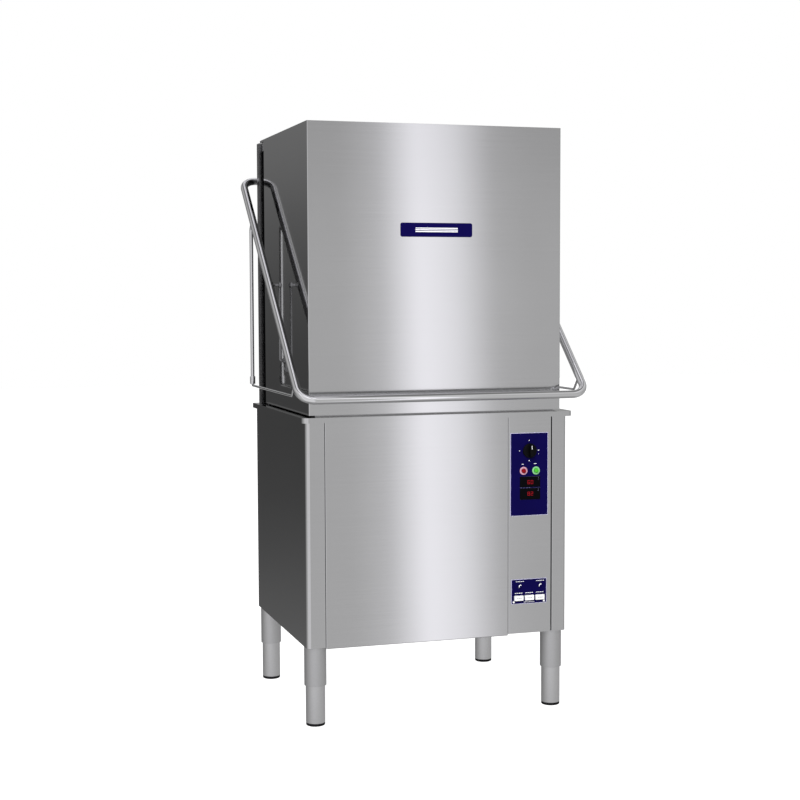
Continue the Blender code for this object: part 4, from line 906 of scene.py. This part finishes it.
negy = wmath('MULTIPLY', sp.outputs[1], -1.0)
el = wmath('ARCSINE', sp.outputs[2])
az = wmath('ARCTAN2', sp.outputs[0], negy)            # 0 towards -Y, positive towards +X
u = wmath('ADD', wmath('DIVIDE', wmath('ADD', az, wmath('MULTIPLY', el, .028)), 2 * math.pi), 0.5)
v = wmath('ADD', wmath('DIVIDE', el, math.pi), 0.5)


def ramp(fac, stops, interp='LINEAR'):
    n = nd(wt, "ShaderNodeValToRGB")
    cr = n.color_ramp
    cr.interpolation = interp
    while len(cr.elements) > 1:
        cr.elements.remove(cr.elements[-1])
    cr.elements[0].position = stops[0][0]
    cr.elements[0].color = (stops[0][1],) * 3 + (1,)
    for p, c in stops[1:]:
        e = cr.elements.new(p)
        e.color = (c,) * 3 + (1,)
    wt.links.new(fac, n.inputs[0])
    return n.outputs[0]


def A(deg):
    return (deg + 180.0) / 360.0


def E(deg):
    return (deg + 90.0) / 180.0


FRONT = 0.57
# broad distribution round the horizon
around = ramp(u, [(A(-180), .80), (A(-175), .35), (A(-171), .0), (A(-150), .0), (A(-120), .30), (A(-96), .75), (A(-84), .95), (A(-45), 1.0), (A(60), 1.0),
                  (A(84), .70), (A(92), .95), (A(104), .70), (A(130), .45), (A(160), .70), (A(180), .80)])
rear = ramp(v, [(E(-90), .22), (E(-30), .28), (E(-14), .150), (E(-12.3), .119), (E(-11), .103), (E(-9.4), .081), (E(-7.5), .063), (E(-5), .056),
                (E(-2.5), .060), (E(0), .079), (E(2.8), .118), (E(4.6), .158), (E(6), .175), (E(9), .215), (E(20), .38), (E(34), .46), (E(46), .20), (E(66), .16),
                (E(90), .22)])
front = ramp(v, [(E(-90), .40), (E(-82), .40), (E(-74), .30), (E(-60), .32), (E(-48), .54), (E(-20), .56), (E(-10), .562), (E(1), .562), (E(3), .545),
                 (E(5.5), .482), (E(8), .47), (E(20), .56), (E(45), .72), (E(57), .46), (E(64), .22), (E(75), .24), (E(82), .40), (E(90), .42)])
# long soft boxes overhead, parallel to Y
ox = wmath('DIVIDE', sp.outputs[0], wmath('MAXIMUM', sp.outputs[2], .05))
over = ramp(wmath('ADD', wmath('DIVIDE', ox, 4.0), 0.5), [(0.0, 0), (.18, 0), (.19, .30), (.25, .30), (.26, 0), (.432, 0), (.440, 1.0), (.500, 1.0), (.508, 0), (.525, 0), (.532, .75),
                                                         (.565, .75), (.572, 0), (.64, 0), (.65, .35), (.72, .35), (.73, 0), (1.0, 0)])
omask = ramp(v, [(E(-90), 0), (E(38), 0), (E(52), .75), (E(90), .75)])
# narrow tall strips, at half value
strip = ramp(u, [(A(-66), 0), (A(-60), .15), (A(-52), .15), (A(-46), .08), (A(-38), .11), (A(2), .12), (A(10.5), 0), (A(15), 0),
                 (A(15.94), 0.000), (A(16.28), 0.016), (A(16.64), 0.043), (A(16.98), 0.088), (A(17.33), 0.151), (A(17.68), 0.241), (A(18.03), 0.326), (A(18.38), 0.415),
                 (A(18.72), 0.463), (A(19.07), 0.436), (A(19.42), 0.350), (A(19.77), 0.254), (A(20.11), 0.174), (A(20.46), 0.104), (A(20.81), 0.054), (A(21.16), 0.019), (A(21.67), 0.000)])
mask = ramp(v, [(E(-60), 0), (E(-35), 1), (E(50), 1), (E(75), 0)])
mx = nd(wt, "ShaderNodeMix", data_type='RGBA')
wt.links.new(around, mx.inputs[0])
wt.links.new(rear, mx.inputs[6])
wt.links.new(front, mx.inputs[7])
st = wmath('ADD', wmath('MULTIPLY', wmath('MULTIPLY', strip, mask), 2.0), wmath('MULTIPLY', over, omask))
lil = nd(wt, "ShaderNodeMix", data_type='RGBA', blend_type='MULTIPLY')
lil.inputs[0].default_value = 1.0
lil.inputs[7].default_value = (1.0, .985, 1.055, 1)
wt.links.new(st, lil.inputs[6])
addc = nd(wt, "ShaderNodeMix", data_type='RGBA', blend_type='ADD')
addc.inputs[0].default_value = 1.0
wt.links.new(mx.outputs[2], addc.inputs[6])
wt.links.new(lil.outputs[2], addc.inputs[7])
bg = nd(wt, "ShaderNodeBackground")
wt.links.new(addc.outputs[2], bg.inputs["Color"])
bgc = nd(wt, "ShaderNodeBackground")
bgc.inputs["Color"].default_value = (1, 1, 1, 1)
lp = nd(wt, "ShaderNodeLightPath")
ms = nd(wt, "ShaderNodeMixShader")
wt.links.new(lp.outputs["Is Camera Ray"], ms.inputs[0])
wt.links.new(bg.outputs[0], ms.inputs[1])
wt.links.new(bgc.outputs[0], ms.inputs[2])
wt.links.new(ms.outputs[0], wo.inputs["Surface"])


def area(name, loc, target, size, power, glossy):
    d = bpy.data.lights.new(name, 'AREA')
    d.shape = 'RECTANGLE'
    d.size, d.size_y = size
    d.energy = power
    o = bpy.data.objects.new(name, d)
    SC.collection.objects.link(o)
    o.location = loc
    o.rotation_mode = 'QUATERNION'
    o.rotation_quaternion = (Vector(target) - Vector(loc)).to_track_quat('-Z', 'Y')
    o.visible_camera = False
    o.visible_glossy = glossy
    return o


area("key_soft", (-1.6, -3.2, 3.0), (0, 0, .8), (2.2, 2.2), 165, False)
area("fill_top", (.8, .6, 3.6), (0, 0, .8), (2.5, 2.5), 45, False)
